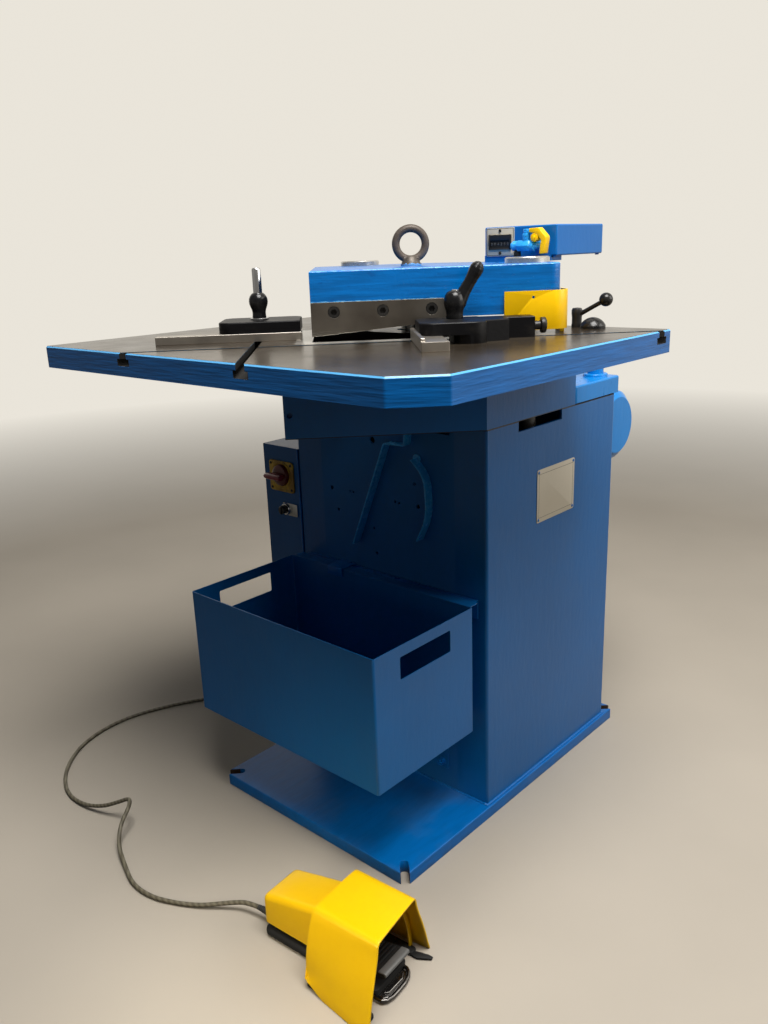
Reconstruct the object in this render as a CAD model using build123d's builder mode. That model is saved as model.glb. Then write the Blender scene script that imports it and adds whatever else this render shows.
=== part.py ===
from build123d import *
import math
import os

# Hydraulic corner notcher. Millimetres, +Z up, +X to the operator's right, +Y to the back.
# Origin: on the floor, under the punch centre line, in the plane of the column's front face.

os.makedirs("parts", exist_ok=True)

# Base plate
base_overlap = 8
base_front = -262
base_tail = 40
base_height = 25
base_edge_break = 1.5
anchor_slot_width = 16
anchor_slot_length = 84

# Column
column_half_width = 250
column_depth = 468
column_wall = 5
column_corner_radius = 6
side_cut_front = 100
side_cut_rear = 252
side_cut_depth = 20
base_half_width = column_half_width + base_overlap
base_rear = column_depth + base_tail

# Die frame under the table
frame_rear = 302
table_height = 950
table_thickness = 40
table_underside = table_height - table_thickness
frame_height = 120
column_top = table_underside - frame_height

# Table
table_half_width = 460
table_front = -430
table_rear = 262
table_corner_cut = 60
table_edge_break = 2.5
table_corner_radius = 6

# Blades: both blade lines start at the nose and run back at 45 degrees
nose_y = -172
blade_length = 242
upper_blade_thickness = 25
upper_blade_top = table_height + 67
blade_tip = table_height + 9
blade_rise = 20
blade_gap = 0.1
lower_blade_width = 30
lower_blade_height = 25
lower_blade_length = 252
blade_screw_first = 40
blade_screw_pitch = 85.5
blade_screw_height = table_height + 50
blade_screw_head = 20
blade_screw_head_depth = 11
blade_screw_shank = 12
blade_screw_grip = 30
blade_screw_socket = 10
head_clearance = 0.5

# Ram
ram_height = 85
ram_bottom = table_height + 35
ram_top = ram_bottom + ram_height
ram_face_length = 440
ram_rear = 300
ram_stroke = 30
ram_corner_radius = 18
ram_edge_break = 2
seat_clearance = 1

# Guides, cylinder and piston
guide_x = 212
guide_y = 180
guide_diameter = 40
guide_bottom = column_top - 150
bush_diameter = 60
bush_bottom = column_top + 10
bush_top = table_height - 20
running_gap = 0.05
guide_cap_diameter = 82
guide_cap_height = 10
guide_edge_break = 2
cylinder_y = 100
cylinder_outer = 120
cylinder_bore = 90
cylinder_bottom = column_top - 230
cylinder_top = table_underside - 5
cylinder_end = 25
rod_diameter = 45
rod_top = ram_bottom + 45
piston_bottom = column_top - 100
piston_height = 40

# Tee slots in the table, by their centre distance from each blade line
slot_neck = 14
slot_neck_depth = 11
slot_foot = 24
slot_foot_depth = 11
slot_offset_right = 45
slot_offset_left = 99

diagonal = math.sqrt(2)


# Local x runs back along the right blade line from the nose, local y points inwards.
def right_plane(height):
    return Plane(origin=(0, nose_y, height), x_dir=(1, 1, 0), z_dir=(0, 0, 1))


# Local x runs back along the left blade line from the nose, local y points outwards.
def left_plane(height):
    return Plane(origin=(0, nose_y, height), x_dir=(-1, 1, 0), z_dir=(0, 0, 1))


# Upright plane on the right blade line: local x along it, local y is the height above the floor.
def right_face(inset):
    face = Plane(origin=(0, nose_y, 0), x_dir=(1, 1, 0), z_dir=(1, -1, 0))
    return face.offset(-inset)


# Plan position of a point measured along and out from the right blade line.
def along_right(run, out):
    return ((run + out) / diagonal, (run - out) / diagonal + nose_y)


# Plan position of a point measured along and out from the left blade line.
def along_left(run, out):
    return (-(run + out) / diagonal, (run - out) / diagonal + nose_y)


def finish(builder, label):
    builder.part.label = label
    export_step(builder.part, "parts/" + label + ".step")


# Base plate with an open anchor slot across each corner
base_depth = base_rear - base_front
with BuildPart() as base_plate:
    with Locations((0, (base_front + base_rear) / 2, base_height / 2)):
        Box(2 * base_half_width, base_depth, base_height)
    chamfer(base_plate.faces().sort_by(Axis.Z)[-1].edges(), base_edge_break)
    for corner_x, corner_y, heading in (
        (base_half_width, base_front, -45),
        (-base_half_width, base_front, -135),
        (-base_half_width, base_rear, 135),
        (base_half_width, base_rear, 45),
    ):
        with BuildSketch(Plane.XY):
            with Locations(Location((corner_x, corner_y), heading)):
                SlotOverall(anchor_slot_length, anchor_slot_width)
        extrude(amount=base_height, mode=Mode.SUBTRACT)
finish(base_plate, "base_plate")

# Column: a folded sheet box with a cut-out at the top of each side and service holes in front,
# each by its place across, its drop below the column's top, and its diameter
service_holes = (
    (-149, 165, 9),
    (-96, 165, 5),
    (-86, 165, 5),
    (-132, 210, 7),
    (28, 167, 6),
    (38, 168, 6),
    (79, 123, 7),
    (87, 167, 9),
    (-32, 233, 6),
    (-26, 286, 7),
    (-28, 49, 14),
)
vent_x = 150
vent_height = column_top - 14
vent_length = 34
vent_width = 7
hose_hole = 24
hose_hole_x = -185
hose_hole_height = column_top - 30
with BuildPart() as column:
    with BuildSketch(Plane.XY.offset(base_height)):
        with Locations((0, column_depth / 2)):
            RectangleRounded(2 * column_half_width, column_depth, column_corner_radius)
            RectangleRounded(
                2 * (column_half_width - column_wall),
                column_depth - 2 * column_wall,
                column_corner_radius / 2,
                mode=Mode.SUBTRACT,
            )
    extrude(amount=column_top - base_height)
    with Locations((0, (side_cut_front + side_cut_rear) / 2, column_top)):
        Box(
            2 * column_half_width + column_wall,
            side_cut_rear - side_cut_front,
            2 * side_cut_depth,
            mode=Mode.SUBTRACT,
        )
    with BuildSketch(Plane.XZ):
        for hole_x, hole_drop, hole_diameter in service_holes:
            with Locations((hole_x, column_top - hole_drop)):
                Circle(hole_diameter / 2)
        with Locations((vent_x, vent_height)):
            SlotOverall(vent_length, vent_width)
    extrude(amount=-column_wall, mode=Mode.SUBTRACT)
    with BuildSketch(Plane.XZ.offset(-column_depth)):
        with Locations((hose_hole_x, hose_hole_height)):
            Circle(hose_hole / 2)
    extrude(amount=column_wall, mode=Mode.SUBTRACT)
finish(column, "column")

# Die frame: vee-nosed block that carries the table, with the scrap chute open through the nose
chute_wall = 55
chute_rear = -12
chute_half_width = chute_rear - nose_y
nose_hole = 10
nose_hole_run = -38
nose_hole_depth = 12
nose_hole_height = column_top + 42
relief_width = 70
relief_length = 150
relief_depth = 85
relief_round = 12
relief_x = 120
relief_y = 190
with BuildPart() as die_frame:
    with BuildSketch(Plane.XY.offset(column_top)):
        with BuildLine():
            Polyline(
                (0, -column_half_width),
                (column_half_width, 0),
                (column_half_width, frame_rear),
                (-column_half_width, frame_rear),
                (-column_half_width, 0),
                close=True,
            )
        make_face()
    extrude(amount=table_underside - column_top)
    with BuildSketch(Plane.XY.offset(column_top)):
        with BuildLine():
            Polyline(
                (0, nose_y),
                (chute_half_width, chute_rear),
                (-chute_half_width, chute_rear),
                close=True,
            )
        make_face()
    extrude(amount=table_underside - column_top, mode=Mode.SUBTRACT)
    with BuildSketch(Plane.XY.offset(column_top)):
        with Locations((0, cylinder_y)):
            Circle(cylinder_outer / 2)
        with Locations((-guide_x, guide_y), (guide_x, guide_y)):
            Circle(bush_diameter / 2)
    extrude(amount=table_underside - column_top, mode=Mode.SUBTRACT)
    with BuildSketch(Plane.XY.offset(column_top)):
        with Locations((-relief_x, relief_y), (relief_x, relief_y)):
            RectangleRounded(relief_width, relief_length, relief_round)
    extrude(amount=relief_depth, mode=Mode.SUBTRACT)
    nose_face = Plane(origin=(0, -column_half_width, 0), x_dir=(1, 1, 0), z_dir=(1, -1, 0))
    with BuildSketch(nose_face):
        with Locations((nose_hole, nose_hole_height)):
            Circle(nose_hole / 2)
    extrude(amount=-nose_hole_depth, mode=Mode.SUBTRACT)
finish(die_frame, "die_frame")

# Table: steel plate with the vee opening, two tee slots, seats for the lower blades and two studs
opening_rear = 25
opening_half_width = opening_rear - nose_y
stud_diameter = 12
rear_lever_x = 286
rear_lever_y = 236
stop_knob_x = 324
stop_knob_y = 228
rod_hole = 62
stud_height = 32
knob_rim = 5
with BuildPart() as table:
    with BuildSketch(Plane.XY.offset(table_underside)):
        with BuildLine():
            Polyline(
                (-table_half_width, table_front),
                (table_half_width - table_corner_cut, table_front),
                (table_half_width, table_front + table_corner_cut),
                (table_half_width, table_rear),
                (-table_half_width, table_rear),
                close=True,
            )
        make_face()
    extrude(amount=table_thickness)
    fillet(table.edges().filter_by(Axis.Z), table_corner_radius)
    chamfer(table.faces().sort_by(Axis.Z)[-1].edges(), table_edge_break)
    with BuildSketch(Plane.XY.offset(table_underside)):
        with BuildLine():
            Polyline(
                (0, nose_y),
                (opening_half_width, opening_rear),
                (-opening_half_width, opening_rear),
                close=True,
            )
        make_face()
        with Locations((-guide_x, guide_y), (guide_x, guide_y)):
            Circle(bush_diameter / 2)
        with Locations((0, cylinder_y)):
            Circle(rod_hole / 2)
    extrude(amount=table_thickness, mode=Mode.SUBTRACT)
    for seat_plane, outward in ((right_plane, -1), (left_plane, 1)):
        with BuildSketch(seat_plane(table_height - lower_blade_height)):
            with BuildLine():
                Polyline(
                    (0, 0),
                    (lower_blade_length, 0),
                    (lower_blade_length, outward * lower_blade_width),
                    (-lower_blade_width, outward * lower_blade_width),
                    close=True,
                )
            make_face()
        extrude(amount=lower_blade_height, mode=Mode.SUBTRACT)
    slot_run = 4 * table_half_width
    for slot_plane, slot_line in (
        (right_plane, -slot_offset_right),
        (left_plane, slot_offset_left),
    ):
        with BuildSketch(slot_plane(table_height - slot_neck_depth)):
            with Locations((0, slot_line)):
                Rectangle(slot_run, slot_neck)
        extrude(amount=slot_neck_depth, mode=Mode.SUBTRACT)
        with BuildSketch(slot_plane(table_height - slot_neck_depth - slot_foot_depth)):
            with Locations((0, slot_line)):
                Rectangle(slot_run, slot_foot)
        extrude(amount=slot_foot_depth, mode=Mode.SUBTRACT)
    with BuildSketch(Plane.XY.offset(table_height)):
        with Locations((rear_lever_x, rear_lever_y)):
            Circle(stud_diameter / 2)
    extrude(amount=stud_height)
    with BuildSketch(Plane.XY.offset(table_height)):
        with Locations((stop_knob_x, stop_knob_y)):
            Circle(stud_diameter / 2)
    extrude(amount=knob_rim)
finish(table, "table")

# Lower blades: ground bars mitred at the nose, seated flush with the table
for blade_plane, outward, blade_name in (
    (right_plane, -1, "lower_blade_right"),
    (left_plane, 1, "lower_blade_left"),
):
    with BuildPart() as lower_blade:
        with BuildSketch(blade_plane(table_height - lower_blade_height)):
            with BuildLine():
                Polyline(
                    (0, 0),
                    (lower_blade_length, 0),
                    (lower_blade_length, outward * lower_blade_width),
                    (-lower_blade_width, outward * lower_blade_width),
                    close=True,
                )
            make_face()
        extrude(amount=lower_blade_height)
    finish(lower_blade, blade_name)

# Upper blades: the cutting edge rises away from the nose
blade_screw_runs = [blade_screw_first + blade_screw_pitch * number for number in range(3)]
with BuildPart() as upper_blade_right:
    with BuildSketch(right_face(blade_gap)):
        with BuildLine():
            Polyline(
                (0, blade_tip),
                (blade_length, blade_tip + blade_rise),
                (blade_length, upper_blade_top),
                (0, upper_blade_top),
                close=True,
            )
        make_face()
    extrude(amount=-upper_blade_thickness)
    with Locations((-upper_blade_thickness, nose_y, upper_blade_top)):
        Box(
            2 * upper_blade_thickness,
            4 * upper_blade_thickness,
            4 * (upper_blade_top - blade_tip),
            mode=Mode.SUBTRACT,
        )
    with BuildSketch(right_face(blade_gap)):
        for run in blade_screw_runs:
            with Locations((run, blade_screw_height)):
                Circle(blade_screw_head / 2 + head_clearance)
    extrude(amount=-blade_screw_head_depth, mode=Mode.SUBTRACT)
    with BuildSketch(right_face(blade_gap)):
        for run in blade_screw_runs:
            with Locations((run, blade_screw_height)):
                Circle(blade_screw_shank / 2)
    extrude(amount=-upper_blade_thickness, mode=Mode.SUBTRACT)
finish(upper_blade_right, "upper_blade_right")
with BuildPart() as upper_blade_left:
    mirror(upper_blade_right.part, about=Plane.YZ)
finish(upper_blade_left, "upper_blade_left")

# Six socket screws that hold the upper blades
with BuildPart() as blade_screws_right:
    for run in blade_screw_runs:
        with BuildSketch(right_face(blade_gap)):
            with Locations((run, blade_screw_height)):
                Circle(blade_screw_head / 2)
        extrude(amount=-blade_screw_head_depth)
        with BuildSketch(right_face(blade_gap)):
            with Locations((run, blade_screw_height)):
                Circle(blade_screw_shank / 2)
        extrude(amount=-blade_screw_grip)
        with BuildSketch(right_face(blade_gap)):
            with Locations((run, blade_screw_height)):
                RegularPolygon(blade_screw_socket / 2, 6, major_radius=False)
        extrude(amount=-blade_screw_head_depth / 2, mode=Mode.SUBTRACT)
with BuildPart() as blade_screws:
    add(blade_screws_right.part)
    mirror(blade_screws_right.part, about=Plane.YZ)
finish(blade_screws, "blade_screws")

# Ram: vee-nosed block that carries the upper blades and slides on the guide columns
ram_corner = along_right(ram_face_length, -blade_gap)
ram_rear_x = ram_corner[0] + ram_corner[1] - ram_rear
seat_depth = upper_blade_thickness + blade_gap
eyebolt_shank = 17
eyebolt_depth = 34
with BuildPart() as ram:
    with BuildSketch(Plane.XY.offset(ram_bottom)):
        with BuildLine():
            Polyline(
                (0, nose_y + blade_gap * diagonal),
                ram_corner,
                (ram_rear_x, ram_rear),
                (-ram_rear_x, ram_rear),
                (-ram_corner[0], ram_corner[1]),
                close=True,
            )
        make_face()
    extrude(amount=ram_top - ram_bottom)
    fillet(ram.edges().filter_by(Axis.Z).sort_by(Axis.X)[-1], ram_corner_radius)
    fillet(ram.edges().filter_by(Axis.Z).sort_by(Axis.X)[0], ram_corner_radius)
    chamfer(ram.faces().sort_by(Axis.Z)[-1].edges(), ram_edge_break)
    for seat_plane, inward in ((right_plane, 1), (left_plane, -1)):
        with BuildSketch(seat_plane(ram_bottom)):
            with Locations((blade_length / 2, inward * seat_depth / 2)):
                Rectangle(blade_length + 2 * seat_clearance, seat_depth)
        extrude(amount=upper_blade_top - ram_bottom, mode=Mode.SUBTRACT)
    with BuildSketch(Plane.XY.offset(ram_bottom)):
        with Locations((-guide_x, guide_y), (guide_x, guide_y)):
            Circle(guide_diameter / 2)
    extrude(amount=ram_top - ram_bottom, mode=Mode.SUBTRACT)
    with BuildSketch(Plane.XY.offset(ram_bottom)):
        with Locations((0, cylinder_y)):
            Circle(rod_diameter / 2)
    extrude(amount=rod_top - ram_bottom, mode=Mode.SUBTRACT)
    with BuildSketch(Plane.XY.offset(ram_top - eyebolt_depth)):
        with Locations((0, cylinder_y)):
            Circle(eyebolt_shank / 2)
    extrude(amount=eyebolt_depth, mode=Mode.SUBTRACT)
    with BuildSketch(right_face(blade_gap)):
        for run in blade_screw_runs:
            with Locations((run, blade_screw_height)):
                Circle(blade_screw_shank / 2)
    extrude(amount=-blade_screw_grip, mode=Mode.SUBTRACT)
    left_inward = Plane(origin=(0, nose_y, 0), x_dir=(-1, 1, 0), z_dir=(1, 1, 0))
    with BuildSketch(left_inward.offset(blade_gap)):
        for run in blade_screw_runs:
            with Locations((run, blade_screw_height)):
                Circle(blade_screw_shank / 2)
    extrude(amount=blade_screw_grip, mode=Mode.SUBTRACT)
finish(ram, "ram")

# Guide columns with their broad heads on the ram, and the bushes in the die frame
with BuildPart() as guide_columns:
    with BuildSketch(Plane.XY.offset(guide_bottom)):
        with Locations((-guide_x, guide_y), (guide_x, guide_y)):
            Circle(guide_diameter / 2)
    extrude(amount=ram_top - guide_bottom)
    with BuildSketch(Plane.XY.offset(ram_top)):
        with Locations((-guide_x, guide_y), (guide_x, guide_y)):
            Circle(guide_cap_diameter / 2)
    extrude(amount=guide_cap_height)
    guide_circles = guide_columns.edges().filter_by(GeomType.CIRCLE).group_by(Axis.Z)
    chamfer(guide_circles[0] + guide_circles[-1], guide_edge_break)
finish(guide_columns, "guide_columns")

with BuildPart() as guide_bushes:
    with BuildSketch(Plane.XY.offset(bush_bottom)):
        with Locations((-guide_x, guide_y), (guide_x, guide_y)):
            Circle(bush_diameter / 2)
            Circle(guide_diameter / 2 + running_gap, mode=Mode.SUBTRACT)
    extrude(amount=bush_top - bush_bottom)
finish(guide_bushes, "guide_bushes")

# Lifting eye on the ram: collar, neck and ring turned across the blade line
eye_collar_diameter = 40
eye_collar_height = 9
eye_ring_outer = 72
eye_ring_section = 15
eye_centre_height = 40
eye_collar_break = 3
eye_turn = 45
eye_plane = Plane(
    origin=(0, cylinder_y, ram_top + eye_centre_height),
    x_dir=(math.cos(math.radians(eye_turn)), math.sin(math.radians(eye_turn)), 0),
    z_dir=(math.sin(math.radians(eye_turn)), -math.cos(math.radians(eye_turn)), 0),
)
with BuildPart() as eyebolt:
    with BuildSketch(Plane.XY.offset(ram_top)):
        with Locations((0, cylinder_y)):
            Circle(eye_collar_diameter / 2)
    extrude(amount=eye_collar_height)
    chamfer(eyebolt.faces().sort_by(Axis.Z)[-1].edges(), eye_collar_break)
    with Locations(eye_plane.location):
        Torus((eye_ring_outer - eye_ring_section) / 2, eye_ring_section / 2)
    with BuildSketch(Plane.XY.offset(ram_top - eyebolt_depth)):
        with Locations((0, cylinder_y)):
            Circle(eyebolt_shank / 2)
    extrude(amount=eyebolt_depth)
finish(eyebolt, "eyebolt")

# Hydraulic cylinder with its piston and rod
with BuildPart() as cylinder:
    with BuildSketch(Plane.XZ.offset(-cylinder_y)):
        with BuildLine():
            Polyline(
                (0, cylinder_bottom),
                (cylinder_outer / 2, cylinder_bottom),
                (cylinder_outer / 2, cylinder_top),
                (rod_diameter / 2 + running_gap, cylinder_top),
                (rod_diameter / 2 + running_gap, cylinder_top - cylinder_end),
                (cylinder_bore / 2, cylinder_top - cylinder_end),
                (cylinder_bore / 2, cylinder_bottom + cylinder_end),
                (0, cylinder_bottom + cylinder_end),
                close=True,
            )
        make_face()
    revolve(axis=Axis((0, cylinder_y, 0), (0, 0, 1)))
finish(cylinder, "cylinder")

with BuildPart() as piston_rod:
    with BuildSketch(Plane.XZ.offset(-cylinder_y)):
        with BuildLine():
            Polyline(
                (0, piston_bottom),
                (cylinder_bore / 2 - running_gap, piston_bottom),
                (cylinder_bore / 2 - running_gap, piston_bottom + piston_height),
                (rod_diameter / 2, piston_bottom + piston_height),
                (rod_diameter / 2, rod_top),
                (0, rod_top),
                close=True,
            )
        make_face()
    revolve(axis=Axis((0, cylinder_y, 0), (0, 0, 1)))
finish(piston_rod, "piston_rod")

# Counter on the ram: foot plate, sheet case, face plate with window and two screws
counter_left = 58
counter_right = 224
counter_front = 262
counter_depth = 176
counter_foot_height = 9
counter_top = ram_top + 66
counter_corner = 3
foot_inset = 6
foot_depth = 38
face_left = 63
face_right = 129
face_inset = 1.5
face_thickness = 1.5
face_edge_break = 0.5
window_inset = 6
window_bottom = ram_top + 22
window_top = ram_top + 43
window_thickness = 2.5
window_round = 1.5
counter_bottom = ram_top + counter_foot_height
counter_mid_x = (counter_left + counter_right) / 2
counter_mid_z = (counter_bottom + counter_top) / 2
face_mid_x = (face_left + face_right) / 2
with BuildPart() as counter_case:
    with Locations((counter_mid_x, counter_front + counter_depth / 2, counter_mid_z)):
        Box(counter_right - counter_left, counter_depth, counter_top - counter_bottom)
    fillet(counter_case.edges(), counter_corner)
    with Locations((counter_mid_x - foot_inset, counter_front + foot_depth / 2, ram_top)):
        Box(
            counter_right - counter_left - 2 * foot_inset,
            foot_depth,
            counter_foot_height + counter_corner,
            align=(Align.CENTER, Align.CENTER, Align.MIN),
        )
finish(counter_case, "counter_case")

with BuildPart() as counter_face:
    with BuildSketch(Plane.XZ.offset(-counter_front)):
        with Locations((face_mid_x, counter_mid_z)):
            Rectangle(face_right - face_left, counter_top - counter_bottom - 2 * face_inset)
    extrude(amount=face_thickness)
    chamfer(counter_face.faces().sort_by(Axis.Y)[0].edges(), face_edge_break)
finish(counter_face, "counter_face")

with BuildPart() as counter_window:
    with BuildSketch(Plane.XZ.offset(-counter_front + face_thickness)):
        with Locations((face_mid_x, (window_bottom + window_top) / 2)):
            RectangleRounded(
                face_right - face_left - 2 * window_inset, window_top - window_bottom, window_round
            )
    extrude(amount=window_thickness)
finish(counter_window, "counter_window")

# Stop valve in front of the counter: standpipe, body with bonnet, and a bent lever
valve_x = 172
valve_y = 238
valve_body_left = 142
valve_body_right = 192
valve_height = ram_top + 29
valve_radius = 10
pipe_x = 152
pipe_radius = 5
bonnet_radius = 8
bonnet_top = valve_height + 25
with BuildPart() as valve_body:
    with BuildSketch(Plane.YZ.offset(valve_body_left)):
        with Locations((valve_y, valve_height)):
            RegularPolygon(valve_radius, 6, major_radius=False)
    extrude(amount=valve_body_right - valve_body_left)
    with BuildSketch(Plane.XY.offset(ram_top)):
        with Locations((pipe_x, valve_y)):
            Circle(pipe_radius)
    extrude(amount=valve_height - ram_top)
    with BuildSketch(Plane.XY.offset(valve_height)):
        with Locations((valve_x, valve_y)):
            Circle(bonnet_radius)
    extrude(amount=bonnet_top - valve_height)
    with BuildSketch(Plane.XZ.offset(-valve_y)):
        with Locations((valve_x, valve_height)):
            Circle(valve_radius - 1)
    extrude(amount=valve_y - counter_front)
finish(valve_body, "valve_body")

# Bent strip lever: a tab on the bonnet, a shoulder sloping down and a grip that hangs
handle_width = 14
handle_thickness = 3
handle_tail = 9
handle_shoulder = 16
handle_elbow = 38
handle_elbow_drop = 12
handle_end = 34
handle_end_drop = 38
with BuildPart() as valve_handle:
    with BuildSketch(Plane.XZ.offset(-valve_y - handle_width / 2)):
        with BuildLine():
            Polyline(
                (valve_x - handle_tail, bonnet_top + handle_thickness / 2),
                (valve_x + handle_shoulder, bonnet_top + handle_thickness / 2),
                (valve_x + handle_elbow, bonnet_top - handle_elbow_drop),
                (valve_x + handle_end, bonnet_top - handle_end_drop),
            )
            offset(amount=handle_thickness / 2, kind=Kind.INTERSECTION)
        make_face()
    extrude(amount=handle_width)
finish(valve_handle, "valve_handle")

# Side guard: bent sheet round the right end of the ram, welded to a bar that stands on the table
guard_line = 8
guard_start = 337
guard_end = 455
guard_bend = 30
guard_return = 60
guard_thickness = 3
guard_bottom = table_height + 7
guard_top = table_height + 74
guard_hole_run = 388
guard_hole_height = guard_top - 11
guard_hole = 5
bracket_thickness = 8
bracket_width = 34
bracket_top = table_height + 50
with BuildPart() as side_guard:
    with BuildSketch(right_plane(guard_bottom)):
        with BuildLine() as guard_path:
            FilletPolyline(
                (guard_start, -guard_line),
                (guard_end, -guard_line),
                (guard_end, guard_return),
                radius=guard_bend,
            )
            offset(guard_path.line, amount=guard_thickness, side=Side.LEFT)
        make_face()
    extrude(amount=guard_top - guard_bottom)
    with BuildSketch(right_face(-guard_line)):
        with Locations((guard_hole_run, guard_hole_height)):
            Circle(guard_hole / 2)
    extrude(amount=-guard_thickness, mode=Mode.SUBTRACT)
    with BuildSketch(right_plane(table_height)):
        with Locations(
            (
                guard_end - guard_thickness - bracket_thickness / 2,
                guard_return - bracket_width / 2,
            )
        ):
            Rectangle(bracket_thickness, bracket_width)
    extrude(amount=bracket_top - table_height)
finish(side_guard, "side_guard")

# Clamp lever and domed knob on studs at the right rear of the table
lever_hub_diameter = 20
lever_hub_height = 36
lever_ball_diameter = 25
ball_flat = 2
rear_lever_tip = (rear_lever_x + 59, rear_lever_y - 1, table_height + 51)
rear_lever_root = (rear_lever_x, rear_lever_y, table_height + 30)
rear_rod_diameter = 8
knob_diameter = 46
knob_height = 20
knob_sphere = 25.1
rod_vector = Vector(rear_lever_tip) - Vector(rear_lever_root)
with BuildPart() as rear_lever:
    with BuildSketch(Plane(origin=rear_lever_root, z_dir=rod_vector)):
        Circle(rear_rod_diameter / 2)
    extrude(amount=rod_vector.length - lever_ball_diameter / 2 + ball_flat)
    with BuildSketch(Plane.XY.offset(table_height)):
        with Locations((rear_lever_x, rear_lever_y)):
            Circle(lever_hub_diameter / 2)
    extrude(amount=lever_hub_height)
    with Locations(rear_lever_tip):
        Sphere(lever_ball_diameter / 2)
    with BuildSketch(Plane.XY.offset(table_height)):
        with Locations((rear_lever_x, rear_lever_y)):
            Circle(stud_diameter / 2 + running_gap)
    extrude(amount=stud_height, mode=Mode.SUBTRACT)
finish(rear_lever, "rear_lever")

with BuildPart() as table_knob:
    with BuildSketch(Plane.XY.offset(table_height)):
        with Locations((stop_knob_x, stop_knob_y)):
            Circle(knob_diameter / 2)
    extrude(amount=knob_height)
    with Locations((stop_knob_x, stop_knob_y, table_height + knob_height - knob_sphere)):
        Sphere(knob_sphere, mode=Mode.INTERSECT)
    with BuildSketch(Plane.XY.offset(table_height)):
        with Locations((stop_knob_x, stop_knob_y)):
            Circle(stud_diameter / 2 + running_gap)
    extrude(amount=knob_rim, mode=Mode.SUBTRACT)
finish(table_knob, "table_knob")

# Left stop: fence bar square to the left blade, slide plate, tee bolt and clamp lever
fence_height = 15
plate_thickness = 20
left_fence_run = 54
left_fence_width = 30
left_fence_near = 20
left_fence_far = 283
left_plate_near = 22
left_plate_far = 170
left_plate_rear = 175
left_lever_run = 115
plate_round = 22
fence_edge_break = 1
plate_edge_break = 1.5
plate_bottom = table_height + fence_height
plate_top = plate_bottom + plate_thickness
with BuildPart() as left_fence:
    with BuildSketch(left_plane(table_height)):
        with Locations(
            (left_fence_run + left_fence_width / 2, (left_fence_near + left_fence_far) / 2)
        ):
            Rectangle(left_fence_width, left_fence_far - left_fence_near)
    extrude(amount=fence_height)
    chamfer(left_fence.faces().sort_by(Axis.Z)[-1].edges(), fence_edge_break)
finish(left_fence, "left_fence")

bolt_hole = stud_diameter / 2 + running_gap
left_plate_mid = (left_plate_near + left_plate_far) / 2
left_plate_width = left_plate_far - left_plate_near
left_foot_front = left_fence_run + left_fence_width
with BuildPart() as left_stop_plate:
    with BuildSketch(left_plane(plate_bottom)):
        with Locations(((left_fence_run + left_plate_rear) / 2, left_plate_mid)):
            RectangleRounded(left_plate_rear - left_fence_run, left_plate_width, plate_round)
        with Locations((left_fence_run + plate_round, left_plate_near + plate_round)):
            Rectangle(2 * plate_round, 2 * plate_round)
    extrude(amount=plate_thickness)
    with BuildSketch(left_plane(table_height)):
        with Locations(((left_foot_front + left_plate_rear - plate_round) / 2, left_plate_mid)):
            Rectangle(
                left_plate_rear - plate_round - left_foot_front,
                left_plate_width - 2 * plate_round,
            )
    extrude(amount=fence_height)
    with BuildSketch(left_plane(table_height)):
        with Locations((left_lever_run, slot_offset_left)):
            Circle(bolt_hole)
    extrude(amount=fence_height + plate_thickness, mode=Mode.SUBTRACT)
    chamfer(left_stop_plate.faces().sort_by(Axis.Z)[-1].edges(), plate_edge_break)
finish(left_stop_plate, "left_stop_plate")

# Right stop: thin fence strip on a shoe, cast slide plate with a web and a fine-screw block
right_fence_run = 171
right_fence_width = 7
right_fence_near = 16
right_fence_far = 208
right_fence_height = 20
shoe_near = 96
shoe_far = 222
shoe_rear = 214
right_plate_front = right_fence_run + right_fence_width
right_plate_rear = 290
right_plate_near = 10
right_plate_far = 130
right_foot_front = 235
right_foot_near = 20
web_rear = 330
web_near = 20
web_far = 90
block_rear = 380
block_near = 20
block_far = 60
right_lever_run = 245
right_plate_round = 25
fine_screw_line = 40
fine_screw_height = table_height + 18
fine_screw_diameter = 8
with BuildPart() as right_fence:
    with BuildSketch(right_plane(table_height)):
        with Locations(
            (right_fence_run + right_fence_width / 2, -(right_fence_near + right_fence_far) / 2)
        ):
            Rectangle(right_fence_width, right_fence_far - right_fence_near)
    extrude(amount=right_fence_height)
    with BuildSketch(right_plane(table_height)):
        with Locations(((right_fence_run + shoe_rear) / 2, -(shoe_near + shoe_far) / 2)):
            Rectangle(shoe_rear - right_fence_run, shoe_far - shoe_near)
    extrude(amount=fence_height)
    chamfer(right_fence.faces().sort_by(Axis.Z)[-1].edges(), fence_edge_break)
finish(right_fence, "right_fence")

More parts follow.
